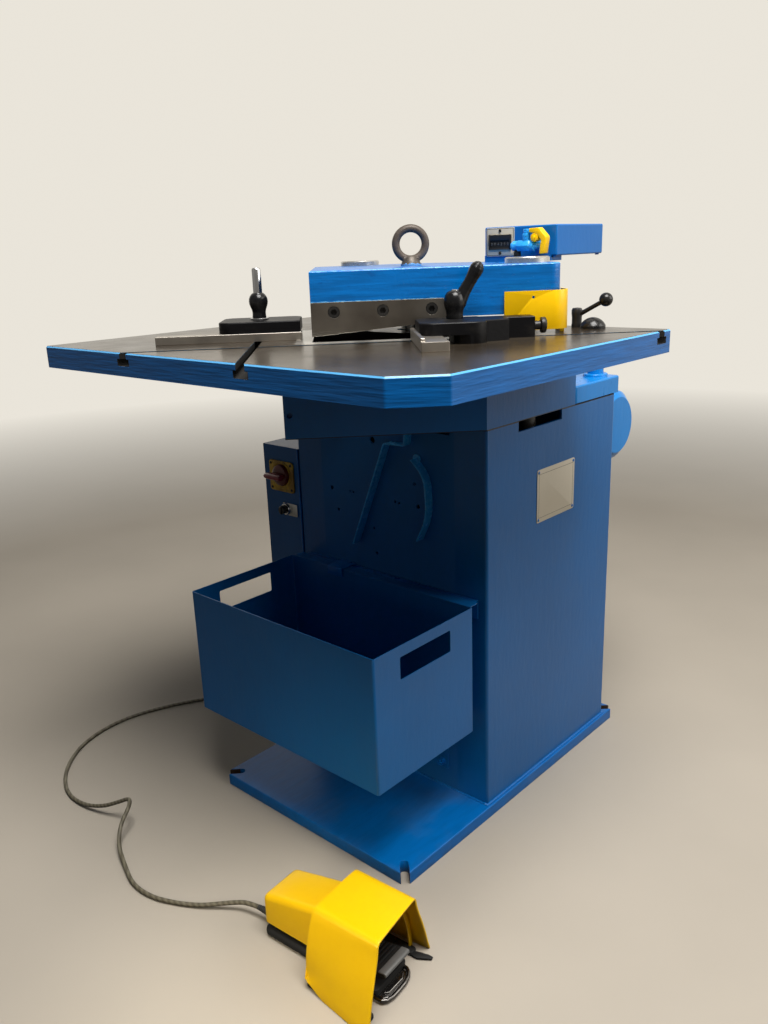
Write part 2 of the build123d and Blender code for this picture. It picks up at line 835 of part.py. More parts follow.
with BuildPart() as right_stop_plate:
    with BuildSketch(right_plane(plate_bottom)):
        with Locations(
            (
                (right_plate_front + right_plate_rear) / 2,
                -(right_plate_near + right_plate_far) / 2,
            )
        ):
            RectangleRounded(
                right_plate_rear - right_plate_front,
                right_plate_far - right_plate_near,
                right_plate_round,
            )
        with Locations((right_plate_rear - right_plate_round, -right_plate_near - right_plate_round)):
            Rectangle(2 * right_plate_round, 2 * right_plate_round)
    extrude(amount=plate_thickness)
    with BuildSketch(right_plane(table_height)):
        with Locations(
            (
                (right_foot_front + right_plate_rear) / 2,
                -(right_foot_near + right_plate_far) / 2,
            )
        ):
            RectangleRounded(
                right_plate_rear - right_foot_front,
                right_plate_far - right_foot_near,
                right_plate_round,
            )
    extrude(amount=fence_height)
    with BuildSketch(right_plane(table_height)):
        with BuildLine():
            Polyline(
                (right_plate_rear - right_plate_round, -web_near),
                (block_rear, -block_near),
                (block_rear, -block_far),
                (web_rear, -block_far),
                (web_rear, -web_far),
                (right_plate_rear - right_plate_round, -web_far - right_plate_round),
                close=True,
            )
        make_face()
    extrude(amount=fence_height + plate_thickness)
    with BuildSketch(right_plane(table_height)):
        with Locations((right_lever_run, -slot_offset_right)):
            Circle(bolt_hole)
    extrude(amount=fence_height + plate_thickness, mode=Mode.SUBTRACT)
    chamfer(right_stop_plate.faces().sort_by(Axis.Z)[-1].edges(), plate_edge_break)
    screw_start = Plane(
        origin=(*along_right(block_rear, fine_screw_line), fine_screw_height),
        x_dir=(1, -1, 0),
        z_dir=(1, 1, 0),
    )
    with BuildSketch(screw_start):
        Circle(fine_screw_diameter / 2 + running_gap)
    extrude(amount=right_plate_rear - block_rear, mode=Mode.SUBTRACT)
finish(right_stop_plate, "right_stop_plate")

# Fine adjusting screw with a thin knurled head
screw_head_diameter = 27
screw_head_thickness = 9
screw_reach = 394
screw_head_cuts = 24
knurl_depth = 0.8
with BuildPart() as adjust_screw:
    with BuildSketch(screw_start):
        Circle(fine_screw_diameter / 2)
    extrude(amount=right_plate_rear + fine_screw_diameter / 2 - block_rear)
    with BuildSketch(screw_start):
        Circle(fine_screw_diameter / 2)
    extrude(amount=screw_reach - block_rear)
    with BuildSketch(screw_start.offset(screw_reach - block_rear)):
        Circle(screw_head_diameter / 2)
        with PolarLocations(screw_head_diameter / 2, screw_head_cuts):
            Rectangle(2 * knurl_depth, 2 * knurl_depth, rotation=45, mode=Mode.SUBTRACT)
    extrude(amount=screw_head_thickness)
finish(adjust_screw, "adjust_screw")

# Tee bolts: head in the slot foot, shank through the plate
head_play = 0.5
tee_bolt_top = plate_top + 22
for bolt_plane, bolt_run, bolt_line, bolt_name in (
    (right_plane, right_lever_run, -slot_offset_right, "right_tee_bolt"),
    (left_plane, left_lever_run, slot_offset_left, "left_tee_bolt"),
):
    head_bottom = table_height - slot_neck_depth - slot_foot_depth + head_play
    with BuildPart() as tee_bolt:
        with BuildSketch(bolt_plane(head_bottom)):
            with Locations((bolt_run, bolt_line)):
                Rectangle(slot_foot - 2 * head_play, slot_foot - 2 * head_play)
        extrude(amount=slot_foot_depth - 2 * head_play)
        with BuildSketch(bolt_plane(head_bottom)):
            with Locations((bolt_run, bolt_line)):
                Circle(stud_diameter / 2)
        extrude(amount=tee_bolt_top - head_bottom)
    finish(tee_bolt, bolt_name)

# Left clamp lever: flanged tapered hub with a domed head and a steel pin standing up from it
left_washer_diameter = 34
left_washer_height = 3
hub_foot_radius = 12
hub_neck_radius = 12
hub_shoulder_radius = 17.5
hub_shoulder_height = 27
dome_height = 18
dome_bulge = 2.5
pin_radius = 8.5
pin_edge_break = 2
pin_top = table_height + 128
left_hub_x, left_hub_y = along_left(left_lever_run, slot_offset_left)
hub_base = plate_top + left_washer_height
with BuildPart() as left_lever:
    with BuildSketch(Plane.XZ.offset(-left_hub_y)):
        with BuildLine():
            Polyline(
                (left_hub_x + pin_radius, pin_top - pin_edge_break),
                (left_hub_x + pin_radius - pin_edge_break, pin_top),
                (left_hub_x, pin_top),
                (left_hub_x, plate_top),
                (left_hub_x + left_washer_diameter / 2, plate_top),
                (left_hub_x + left_washer_diameter / 2, hub_base),
                (left_hub_x + hub_foot_radius, hub_base),
                (left_hub_x + hub_neck_radius, hub_base + hub_shoulder_height / 2),
                (left_hub_x + hub_shoulder_radius, hub_base + hub_shoulder_height),
            )
            ThreePointArc(
                (left_hub_x + hub_shoulder_radius, hub_base + hub_shoulder_height),
                (
                    left_hub_x + hub_shoulder_radius - dome_bulge,
                    hub_base + hub_shoulder_height + 0.6 * dome_height,
                ),
                (left_hub_x + pin_radius, hub_base + hub_shoulder_height + dome_height),
            )
            Line(
                (left_hub_x + pin_radius, hub_base + hub_shoulder_height + dome_height),
                (left_hub_x + pin_radius, pin_top - pin_edge_break),
            )
        make_face()
    revolve(axis=Axis((left_hub_x, left_hub_y, 0), (0, 0, 1)))
    with BuildSketch(Plane.XY.offset(plate_top)):
        with Locations((left_hub_x, left_hub_y)):
            Circle(bolt_hole)
    extrude(amount=tee_bolt_top - plate_top, mode=Mode.SUBTRACT)
finish(left_lever, "left_lever")

# Right clamp lever: round hub and a tapered arm leaning back over the slot
right_hub_radius = 16
right_hub_height = 46
arm_root_radius = 9
arm_tip_radius = 11
right_hub_round = 5
arm_root = (right_lever_run + 3, plate_top + right_hub_height - 12)
arm_tip = (right_lever_run + 37, plate_top + right_hub_height + 35)
right_hub_x, right_hub_y = along_right(right_lever_run, slot_offset_right)
arm_root_point = (*along_right(arm_root[0], slot_offset_right), arm_root[1])
arm_tip_point = (*along_right(arm_tip[0], slot_offset_right), arm_tip[1])
arm_vector = Vector(arm_tip_point) - Vector(arm_root_point)
with BuildPart() as right_lever:
    with BuildSketch(Plane.XY.offset(plate_top)):
        with Locations((right_hub_x, right_hub_y)):
            Circle(right_hub_radius)
    extrude(amount=right_hub_height)
    fillet(right_lever.faces().sort_by(Axis.Z)[-1].edges(), right_hub_round)
    with BuildSketch(Plane(origin=arm_root_point, z_dir=arm_vector)):
        Circle(arm_root_radius)
    with BuildSketch(Plane(origin=arm_tip_point, z_dir=arm_vector)):
        Circle(arm_tip_radius)
    loft()
    with Locations(arm_tip_point):
        Sphere(arm_tip_radius)
    with BuildSketch(Plane.XY.offset(plate_top)):
        with Locations((right_hub_x, right_hub_y)):
            Circle(bolt_hole)
    extrude(amount=tee_bolt_top - plate_top, mode=Mode.SUBTRACT)
finish(right_lever, "right_lever")

# Bare name plate on the right side of the column, with four rivets
name_plate_front = 165
name_plate_rear = 304
name_plate_bottom = column_top - 214
name_plate_top = column_top - 107
name_plate_thickness = 1.2
name_plate_round = 2
rivet_diameter = 6
rivet_inset = 7
rivet_height = 1.5
name_plate_mid = (name_plate_front + name_plate_rear) / 2
name_plate_mid_z = (name_plate_bottom + name_plate_top) / 2
with BuildPart() as name_plate:
    with BuildSketch(Plane.YZ.offset(column_half_width)):
        with Locations((name_plate_mid, name_plate_mid_z)):
            RectangleRounded(
                name_plate_rear - name_plate_front,
                name_plate_top - name_plate_bottom,
                name_plate_round,
            )
    extrude(amount=name_plate_thickness)
    with BuildSketch(Plane.YZ.offset(column_half_width + name_plate_thickness)):
        with Locations((name_plate_mid, name_plate_mid_z)):
            with GridLocations(
                name_plate_rear - name_plate_front - 2 * rivet_inset,
                name_plate_top - name_plate_bottom - 2 * rivet_inset,
                2,
                2,
            ):
                Circle(rivet_diameter / 2)
    extrude(amount=rivet_height, taper=30)
finish(name_plate, "name_plate")

# Oil tank inside the rear of the column, its gasket and its raised lid
tank_side_gap = 7
tank_rear_gap = 2
tank_front = frame_rear + 4
tank_bottom = column_top - 310
tank_wall = 3
tank_corner = 12
gasket_thickness = 1.5
lid_front = frame_rear
lid_rear = column_depth + 19
lid_top = column_top + 37
lid_wall = 3
lid_corner = 8
lid_edge_round = 4
filler_x = 213
filler_y = column_depth - 21
filler_edge_break = 2
filler_cap_round = 3
filler_bore = 30
filler_neck_diameter = 52
filler_neck_height = 7
filler_cap_diameter = 34
filler_cap_height = 18
tank_half_width = column_half_width - tank_side_gap
tank_rear = column_depth - column_wall - tank_rear_gap
tank_mid_y = (tank_front + tank_rear) / 2
tank_top = column_top
with BuildPart() as tank:
    with BuildSketch(Plane.XY.offset(tank_bottom)):
        with Locations((0, tank_mid_y)):
            RectangleRounded(2 * tank_half_width, tank_rear - tank_front, tank_corner)
    extrude(amount=tank_top - tank_bottom)
    with BuildSketch(Plane.XY.offset(tank_bottom + tank_wall)):
        with Locations((0, tank_mid_y)):
            RectangleRounded(
                2 * (tank_half_width - tank_wall),
                tank_rear - tank_front - 2 * tank_wall,
                tank_corner - tank_wall,
            )
    extrude(amount=tank_top - tank_bottom - tank_wall, mode=Mode.SUBTRACT)
finish(tank, "tank")

lid_mid_y = (lid_front + lid_rear) / 2
lid_depth = lid_rear - lid_front
lid_bottom = column_top + gasket_thickness
gasket_margin = 3
with BuildPart() as lid_gasket:
    with BuildSketch(Plane.XY.offset(column_top)):
        with Locations((0, (lid_front + gasket_margin + column_depth) / 2)):
            Rectangle(
                2 * (column_half_width - gasket_margin),
                column_depth - lid_front - gasket_margin,
            )
        with Locations((0, tank_mid_y)):
            Rectangle(
                2 * (tank_half_width - 2 * tank_wall),
                tank_rear - tank_front - 4 * tank_wall,
                mode=Mode.SUBTRACT,
            )
    extrude(amount=gasket_thickness)
finish(lid_gasket, "lid_gasket")

with BuildPart() as tank_lid:
    with BuildSketch(Plane.XY.offset(lid_bottom)):
        with Locations((0, lid_mid_y)):
            RectangleRounded(2 * column_half_width, lid_depth, lid_corner)
    extrude(amount=lid_top - lid_bottom)
    fillet(tank_lid.faces().sort_by(Axis.Z)[-1].edges(), lid_edge_round)
    with BuildSketch(Plane.XY.offset(lid_bottom)):
        with Locations((0, lid_mid_y)):
            Rectangle(
                2 * (column_half_width - lid_corner),
                lid_depth - 2 * lid_corner,
            )
    extrude(amount=lid_top - lid_bottom - lid_wall, mode=Mode.SUBTRACT)
    with BuildSketch(Plane.XY.offset(lid_bottom)):
        with Locations((filler_x, filler_y)):
            Circle(filler_neck_diameter / 2)
    extrude(amount=lid_top - lid_bottom + filler_neck_height)
    chamfer(tank_lid.faces().sort_by(Axis.Z)[-1].edges(), filler_edge_break)
    with BuildSketch(Plane.XY.offset(lid_bottom)):
        with Locations((filler_x, filler_y)):
            Circle(filler_bore / 2)
    extrude(amount=lid_top - lid_bottom + filler_neck_height, mode=Mode.SUBTRACT)
finish(tank_lid, "tank_lid")

with BuildPart() as filler_cap:
    with BuildSketch(Plane.XY.offset(lid_top + filler_neck_height)):
        with Locations((filler_x, filler_y)):
            Circle(filler_cap_diameter / 2)
    extrude(amount=filler_cap_height)
    fillet(filler_cap.faces().sort_by(Axis.Z)[-1].edges(), filler_cap_round)
    with BuildSketch(Plane.XY.offset(lid_top)):
        with Locations((filler_x, filler_y)):
            Circle(filler_bore / 2 - running_gap)
    extrude(amount=filler_neck_height)
finish(filler_cap, "filler_cap")

# Pump motor on the rear wall: finned body on its feet, domed cowl, fan on its shaft, and pump
motor_y = column_depth + 88
motor_z = column_top - 87
motor_left = -90
motor_body_right = 150
motor_right = 216
motor_radius = 66
motor_fin_height = 7
motor_fin_root = 4
motor_fin_thickness = 3.5
motor_fin_count = 28
cowl_radius = 77
cowl_wall = 1.5
cowl_shoulder = 12
cowl_shoulder_drop = 14
cowl_slot_count = 5
cowl_slot_length = 30
cowl_slot_width = 7
cowl_slot_pitch = 14
shaft_radius = 12
fan_radius = 62
fan_left = 168
fan_right = 200
fan_disc = 3
fan_blades = 7
fan_tip_gap = 3
foot_plate = 8
foot_width = 24
foot_reach = 48
foot_rise = 40
foot_left = -60
foot_right = 110
foot_bottom = motor_z - 63
foot_top = motor_z + 63
bell_left = -150
bell_radius = 54
bell_edge_break = 3
pump_left = -222
pump_radius = 36
pump_edge_break = 4
motor_axis = Axis((0, motor_y, motor_z), (1, 0, 0))
with BuildPart() as motor_body:
    with BuildSketch(Plane.YZ.offset(motor_left)):
        with Locations((motor_y, motor_z)):
            Circle(motor_radius)
            with PolarLocations(motor_radius + motor_fin_height / 2, motor_fin_count):
                Rectangle(motor_fin_height + motor_fin_root, motor_fin_thickness)
    extrude(amount=motor_body_right - motor_left)
    foot_profile = [
        (column_depth, foot_bottom),
        (motor_y - foot_reach, motor_z - foot_rise),
        (motor_y - foot_reach, motor_z + foot_rise),
        (column_depth, foot_top),
    ]
    for foot_start in (foot_left, foot_right - foot_width):
        with BuildSketch(Plane.YZ.offset(foot_start)):
            with BuildLine():
                Polyline(*foot_profile, close=True)
            make_face()
        extrude(amount=foot_width)
    with Locations((foot_left, column_depth, foot_bottom)):
        Box(
            foot_right - foot_left,
            foot_plate,
            foot_top - foot_bottom,
            align=(Align.MIN, Align.MIN, Align.MIN),
        )
    with BuildSketch(Plane.YZ.offset(motor_left)):
        with Locations((motor_y, motor_z)):
            Circle(bell_radius)
    extrude(amount=bell_left - motor_left)
    chamfer(motor_body.faces().sort_by(Axis.X)[0].edges(), bell_edge_break)
    with BuildSketch(Plane.YZ.offset(bell_left)):
        with Locations((motor_y, motor_z)):
            Circle(shaft_radius + running_gap)
    extrude(amount=motor_body_right - bell_left, mode=Mode.SUBTRACT)
finish(motor_body, "motor_body")

with BuildPart() as motor_cowl:
    with BuildSketch(Plane.XY.offset(motor_z)):
        with BuildLine():
            Polyline(
                (motor_body_right, motor_y + cowl_radius),
                (motor_right - cowl_shoulder, motor_y + cowl_radius),
                (motor_right, motor_y + cowl_radius - cowl_shoulder_drop),
                (motor_right, motor_y),
                (motor_right - cowl_wall, motor_y),
                (motor_right - cowl_wall, motor_y + cowl_radius - cowl_shoulder_drop - cowl_wall),
                (motor_right - cowl_shoulder - cowl_wall, motor_y + cowl_radius - cowl_wall),
                (motor_body_right, motor_y + cowl_radius - cowl_wall),
                close=True,
            )
        make_face()
    revolve(axis=motor_axis)
    with BuildSketch(Plane.XZ.offset(-motor_y - cowl_radius)):
        with Locations(((fan_left + fan_right) / 2, motor_z)):
            with GridLocations(1, cowl_slot_pitch, 1, cowl_slot_count):
                SlotOverall(cowl_slot_length, cowl_slot_width)
    extrude(amount=cowl_radius / 2, mode=Mode.SUBTRACT)
finish(motor_cowl, "motor_cowl")

with BuildPart() as motor_fan:
    with BuildSketch(Plane.YZ.offset(bell_left)):
        with Locations((motor_y, motor_z)):
            Circle(shaft_radius)
    extrude(amount=fan_right - bell_left)
    with BuildSketch(Plane.YZ.offset(fan_left)):
        with Locations((motor_y, motor_z)):
            Circle(fan_radius)
    extrude(amount=fan_disc)
    with BuildSketch(Plane.YZ.offset(fan_left)):
        with Locations((motor_y, motor_z)):
            with PolarLocations(0, fan_blades):
                with Locations((fan_radius / 2, 0)):
                    Rectangle(fan_radius - 2 * fan_tip_gap, fan_disc)
    extrude(amount=fan_right - fan_left)
finish(motor_fan, "motor_fan")

port_radius = 13
port_height = 6
pipe_radius_large = 7
pipe_bend = 14
with BuildPart() as pump:
    with BuildSketch(Plane.YZ.offset(pump_left)):
        with Locations((motor_y, motor_z)):
            Circle(pump_radius)
    extrude(amount=bell_left - pump_left)
    chamfer(pump.faces().sort_by(Axis.X)[0].edges(), pump_edge_break)
    with BuildSketch(Plane.XY.offset(motor_z)):
        with Locations((hose_hole_x, motor_y)):
            Circle(port_radius)
    extrude(amount=pump_radius + port_height)
    with BuildLine():
        FilletPolyline(
            (hose_hole_x, motor_y, motor_z + pump_radius + port_height),
            (hose_hole_x, motor_y, hose_hole_height),
            (hose_hole_x, column_depth - column_wall, hose_hole_height),
            radius=pipe_bend,
        )
    with BuildSketch(Plane.XY.offset(motor_z + pump_radius + port_height)):
        with Locations((hose_hole_x, motor_y)):
            Circle(pipe_radius_large)
    sweep()
finish(pump, "pump")

# Switch cabinet on the left side of the column, open on its left, closed by a hinged door
cabinet_width = 112
cabinet_depth = 230
cabinet_height = 365
cabinet_top = column_top - 95
cabinet_bottom = cabinet_top - cabinet_height
cabinet_wall = 2
door_thickness = 2
door_gap = 0.5
door_rim = 13
door_rim_wall = 2
door_rim_play = 2
door_lock_radius = 8
door_lock_height = 2
door_lock_inset = 12
cabinet_left = -column_half_width - cabinet_width
cabinet_mid_x = -column_half_width - cabinet_width / 2
gland_x = -308
gland_y = 100
gland_bore = 8
gland_seat_radius = 10
gland_hex_radius = 11
gland_nut_height = 8
key_x = -283
key_z = cabinet_top - 142
key_plate_thickness = 2
key_plate_width = 46
key_plate_height = 28
key_plate_round = 3
cabinet_mid_z = (cabinet_bottom + cabinet_top) / 2
with BuildPart() as cabinet:
    with Locations((cabinet_mid_x, cabinet_depth / 2, cabinet_mid_z)):
        Box(cabinet_width, cabinet_depth, cabinet_top - cabinet_bottom)
    with Locations((cabinet_mid_x - cabinet_wall, cabinet_depth / 2, cabinet_mid_z)):
        Box(
            cabinet_width,
            cabinet_depth - 2 * cabinet_wall,
            cabinet_top - cabinet_bottom - 2 * cabinet_wall,
            mode=Mode.SUBTRACT,
        )
    with Locations((gland_x, gland_y, cabinet_bottom)):
        Cylinder(gland_seat_radius, 3 * cabinet_wall, mode=Mode.SUBTRACT)
    with BuildSketch(Plane.XZ):
        with Locations((key_x, key_z)):
            RectangleRounded(key_plate_width, key_plate_height, key_plate_round)
    extrude(amount=key_plate_thickness)
finish(cabinet, "cabinet")

door_left = cabinet_left - door_gap - door_thickness
rim_depth = cabinet_depth - 2 * (cabinet_wall + door_rim_play)
rim_height = cabinet_height - 2 * (cabinet_wall + door_rim_play)
with BuildPart() as cabinet_door:
    with BuildSketch(Plane.YZ.offset(door_left)):
        with Locations((cabinet_depth / 2, cabinet_mid_z)):
            Rectangle(cabinet_depth, cabinet_height)
    extrude(amount=door_thickness)
    with BuildSketch(Plane.YZ.offset(door_left + door_thickness)):
        with Locations((cabinet_depth / 2, cabinet_mid_z)):
            Rectangle(rim_depth, rim_height)
            Rectangle(
                rim_depth - 2 * door_rim_wall, rim_height - 2 * door_rim_wall, mode=Mode.SUBTRACT
            )
    extrude(amount=door_rim)
    with BuildSketch(Plane.YZ.offset(door_left)):
        with Locations((door_lock_inset, cabinet_mid_z)):
            Circle(door_lock_radius)
    extrude(amount=-door_lock_height)
finish(cabinet_door, "cabinet_door")

# Mounting plate in the cabinet with two contactors and a row of terminals
carrier_thickness = 2
carrier_depth = cabinet_depth - 60
carrier_height = cabinet_height - 65
carrier_y = cabinet_depth / 2 + 10
contactor_width = 45
contactor_height = 75
contactor_depth = 60
contactor_pitch = 60
contactor_rise = 60
terminal_width = carrier_depth - 30
terminal_height = 24
terminal_depth = 40
terminal_drop = 80
carrier_x = -column_half_width - cabinet_wall
device_x = carrier_x - carrier_thickness
with BuildPart() as contactor_plate:
    with BuildSketch(Plane.YZ.offset(carrier_x)):
        with Locations((carrier_y, cabinet_mid_z)):
            Rectangle(carrier_depth, carrier_height)
    extrude(amount=-carrier_thickness)
    with BuildSketch(Plane.YZ.offset(device_x)):
        with Locations((carrier_y, cabinet_mid_z + contactor_rise)):
            with GridLocations(contactor_pitch, 1, 2, 1):
                Rectangle(contactor_width, contactor_height)
    extrude(amount=-contactor_depth)
    with BuildSketch(Plane.YZ.offset(device_x)):
        with Locations((carrier_y, cabinet_mid_z - terminal_drop)):
            Rectangle(terminal_width, terminal_height)
    extrude(amount=-terminal_depth)
finish(contactor_plate, "contactor_plate")

gland_drop = 18
gland_end = cabinet_bottom - gland_drop
with BuildPart() as cabinet_gland:
    with BuildSketch(Plane.XY.offset(gland_end)):
        with Locations((gland_x, gland_y)):
            RegularPolygon(gland_hex_radius, 6, major_radius=False)
    extrude(amount=gland_drop)
    with BuildSketch(Plane.XY.offset(cabinet_bottom)):
        with Locations((gland_x, gland_y)):
            Circle(gland_seat_radius)
    extrude(amount=gland_nut_height)
    with BuildSketch(Plane.XY.offset(gland_end)):
        with Locations((gland_x, gland_y)):
            Circle(gland_bore / 2)
    extrude(amount=gland_drop + gland_nut_height, mode=Mode.SUBTRACT)
finish(cabinet_gland, "cabinet_gland")

# Main switch on the cabinet front: yellow plate, red disc with a fin grip; key switch below
switch_x = -303
switch_z = cabinet_top - 64
switch_plate_left = -344
switch_plate_right = -266
switch_plate_bottom = cabinet_top - 103
switch_plate_top = cabinet_top - 33
switch_plate_thickness = 4
switch_plate_round = 4
switch_disc_radius = 24
switch_disc_height = 10
switch_disc_taper = 8
grip_shift = 4
grip_length = 52
grip_width = 14
grip_height = 34
grip_taper = 4
with BuildPart() as switch_plate:
    with BuildSketch(Plane.XZ):
        with Locations(
            (
                (switch_plate_left + switch_plate_right) / 2,
                (switch_plate_bottom + switch_plate_top) / 2,
            )
        ):
            RectangleRounded(
                switch_plate_right - switch_plate_left,
                switch_plate_top - switch_plate_bottom,
                switch_plate_round,
            )
    extrude(amount=switch_plate_thickness)
finish(switch_plate, "switch_plate")

with BuildPart() as switch_knob:
    with BuildSketch(Plane.XZ.offset(switch_plate_thickness)):
        with Locations((switch_x, switch_z)):
            Circle(switch_disc_radius)
    extrude(amount=switch_disc_height, taper=switch_disc_taper)
    with BuildSketch(Plane.XZ.offset(switch_plate_thickness)):
        with Locations((switch_x - grip_shift, switch_z)):
            SlotOverall(grip_length, grip_width)
    extrude(amount=grip_height, taper=grip_taper)
finish(switch_knob, "switch_knob")

key_knob_x = -297
key_knob_radius = 11
key_knob_height = 8
key_bow_length = 20
key_bow_width = 7
key_bow_height = 9
with BuildPart() as key_knob:
    with BuildSketch(Plane.XZ.offset(key_plate_thickness)):
        with Locations((key_knob_x, key_z)):
            Circle(key_knob_radius)
    extrude(amount=key_knob_height)
    with BuildSketch(Plane.XZ.offset(key_plate_thickness + key_knob_height)):
        with Locations((key_knob_x, key_z)):
            SlotOverall(key_bow_length, key_bow_width)
    extrude(amount=key_bow_height)
finish(key_knob, "key_knob")

# Bent strips on the column front that lead the scrap into the bin
strip_width = 20
strip_thickness = 3
strap_hang_x = 77
strap_drop = 45
strap_shelf_right = 71
strap_shelf_left = 20
strap_foot_x = -75
strap_foot_drop = 269
strap_bends = (4, 8)
band_start = (88, column_top - 71)
band_upper = (119, column_top - 99)
band_lower = (124, column_top - 178)
band_end = (98, column_top - 229)
band_bends = (55, 110)
band_ear_radius = 9
with BuildPart() as scrap_strap:
    with BuildSketch(Plane.XZ):
        with BuildLine():
            FilletPolyline(
                (strap_hang_x, column_top),
                (strap_shelf_right, column_top - strap_drop),
                (strap_shelf_left, column_top - strap_drop - strip_thickness / 2),
                (strap_foot_x, column_top - strap_foot_drop),
                radius=strap_bends,
            )
            offset(amount=strip_thickness / 2, kind=Kind.INTERSECTION)
        make_face()
    extrude(amount=strip_width)
    split(bisect_by=Plane.XY.offset(column_top), keep=Keep.BOTTOM)
finish(scrap_strap, "scrap_strap")

with BuildPart() as scrap_band:
    with BuildSketch(Plane.XZ):
        with BuildLine():
            FilletPolyline(band_start, band_upper, band_lower, band_end, radius=band_bends)
            offset(amount=strip_thickness / 2, kind=Kind.INTERSECTION)
        make_face()
    extrude(amount=strip_width)
    with BuildSketch(Plane.XZ):
        with Locations(band_start):
            Circle(band_ear_radius)
    extrude(amount=strip_thickness)
finish(scrap_band, "scrap_band")

# Cover plate low on the column front, held by four nuts
cover_half_width = 155
cover_bottom = 70
cover_top = 300
cover_thickness = 4
cover_mid_z = (cover_bottom + cover_top) / 2
nut_inset = 15
cover_round = 3
washer_radius = 8.5
washer_height = 1.5
nut_radius = 6.5
nut_height = 8
stud_end_radius = 4
stud_end_height = 13
with BuildPart() as lower_cover:
    with BuildSketch(Plane.XZ):
        with Locations((0, cover_mid_z)):
            RectangleRounded(2 * cover_half_width, cover_top - cover_bottom, cover_round)
    extrude(amount=cover_thickness)
finish(lower_cover, "lower_cover")

nut_places = [
    (side * (cover_half_width - nut_inset), height)
    for side in (-1, 1)
    for height in (cover_bottom + nut_inset, cover_top - nut_inset)
]
with BuildPart() as cover_nuts:
    with BuildSketch(Plane.XZ.offset(cover_thickness)):
        with Locations(*nut_places):
            Circle(washer_radius)
    extrude(amount=washer_height)
    with BuildSketch(Plane.XZ.offset(cover_thickness)):
        with Locations(*nut_places):
            RegularPolygon(nut_radius, 6, major_radius=False)
    extrude(amount=nut_height)
    with BuildSketch(Plane.XZ.offset(cover_thickness)):
        with Locations(*nut_places):
            Circle(stud_end_radius)
    extrude(amount=stud_end_height)
finish(cover_nuts, "cover_nuts")

# Scrap bin: open sheet box with a hand slot in each end and a rear flange that hangs on a rail
bin_half_width = 245
bin_front = -309
bin_rear = -38
bin_top = column_top - 324
bin_bottom = bin_top - 256
bin_wall = 2
bin_corner = 4
bin_flange = 22
flange_inset = 6
slot_front = -243
slot_rear = -106
slot_bottom = bin_top - 63
slot_top = bin_top - 21
slot_round = 3
bin_mid_y = (bin_front + bin_rear) / 2
with BuildPart() as bin_box:
    with Locations((0, bin_mid_y, (bin_bottom + bin_top) / 2)):
        Box(2 * bin_half_width, bin_rear - bin_front, bin_top - bin_bottom)
    fillet(bin_box.edges().filter_by(Axis.Z), bin_corner)
    with BuildSketch(Plane.XY.offset(bin_bottom + bin_wall)):
        with Locations((0, bin_mid_y)):
            RectangleRounded(
                2 * (bin_half_width - bin_wall),
                bin_rear - bin_front - 2 * bin_wall,
                bin_corner - bin_wall,
            )
    extrude(amount=bin_top - bin_bottom, mode=Mode.SUBTRACT)
    with Locations((0, bin_rear + bin_flange / 2, bin_top - bin_wall / 2)):
        Box(2 * (bin_half_width - flange_inset), bin_flange, bin_wall)
    with BuildSketch(Plane.YZ):
        with Locations(((slot_front + slot_rear) / 2, (slot_bottom + slot_top) / 2)):
            RectangleRounded(slot_rear - slot_front, slot_top - slot_bottom, slot_round)
    extrude(amount=bin_half_width, both=True, mode=Mode.SUBTRACT)
finish(bin_box, "scrap_bin")

rail_thickness = 3
rail_depth = 32
rail_height = 38
rail_inset = 15
rail_top = bin_top - bin_wall
hook_rise = 24
hook_left = -120
hook_right = -64
hook_drop = 42
hook_clear = 1.5
with BuildPart() as bin_rail:
    with BuildSketch(Plane.YZ.offset(rail_inset - bin_half_width)):
        with BuildLine():
            Polyline(
                (0, rail_top),
                (-rail_depth, rail_top),
                (-rail_depth, rail_top - rail_thickness),
                (-rail_thickness, rail_top - rail_thickness),
                (-rail_thickness, rail_top - rail_height),
                (0, rail_top - rail_height),
                close=True,
            )
        make_face()
    extrude(amount=2 * (bin_half_width - rail_inset))
    with BuildSketch(Plane.YZ.offset(hook_left)):
        with BuildLine():
            Polyline(
                (0, bin_top - rail_thickness),
                (-rail_thickness, bin_top - rail_thickness),
                (-rail_thickness, bin_top),
                (bin_rear - bin_wall - hook_clear, bin_top),
                (bin_rear - bin_wall - hook_clear, bin_top - hook_drop),
                (bin_rear - bin_wall - hook_clear - rail_thickness, bin_top - hook_drop),
                (bin_rear - bin_wall - hook_clear - rail_thickness, bin_top + rail_thickness),
                (-rail_thickness, bin_top + rail_thickness),
                (-rail_thickness, bin_top + hook_rise),
                (0, bin_top + hook_rise),
                close=True,
            )
        make_face()
    extrude(amount=hook_right - hook_left)
finish(bin_rail, "bin_rail")

# Foot switch on the floor, turned a little from the machine's front
foot_x = 148
foot_y = -458
foot_heading = math.radians(5)
foot_forward = (math.cos(foot_heading), math.sin(foot_heading), 0)
body_length = 130
body_half_width = 32
body_bottom = 30
body_rear_top = 80
body_front_top = 112
body_corner = 7
body_edge_round = 4
base_half = 36
base_corner = 14
sole_length = 255
sole_overlap = 5
sole_half_width = 88
sole_height = 8
sole_corner = 8
hood_rear = 126
hood_front = 250
hood_foot_half = 100
hood_knee_half = 91
hood_knee_height = 64
hood_top_half = 55
hood_height = 130
hood_rear_height = 124
hood_rear_half = 50
hood_wall = 3
hood_round = 14
hood_knee_round = 60
hood_cut_length = 34
hood_cut_height = 64
treadle_pivot_x = 152
treadle_pivot_z = 26
treadle_half_width = 31
treadle_front = 243
treadle_front_top = 55
treadle_front_step = 43
treadle_front_bottom = 38
treadle_pin = 8
treadle_root_rise = 12
treadle_root_drop = 6
treadle_root_back = 8
treadle_root_front = 10
treadle_nose = 4
bearing_radius = 9
bearing_width = 9
bearing_play = 1
bearing_cut_length = 64
bearing_cut_shift = 2
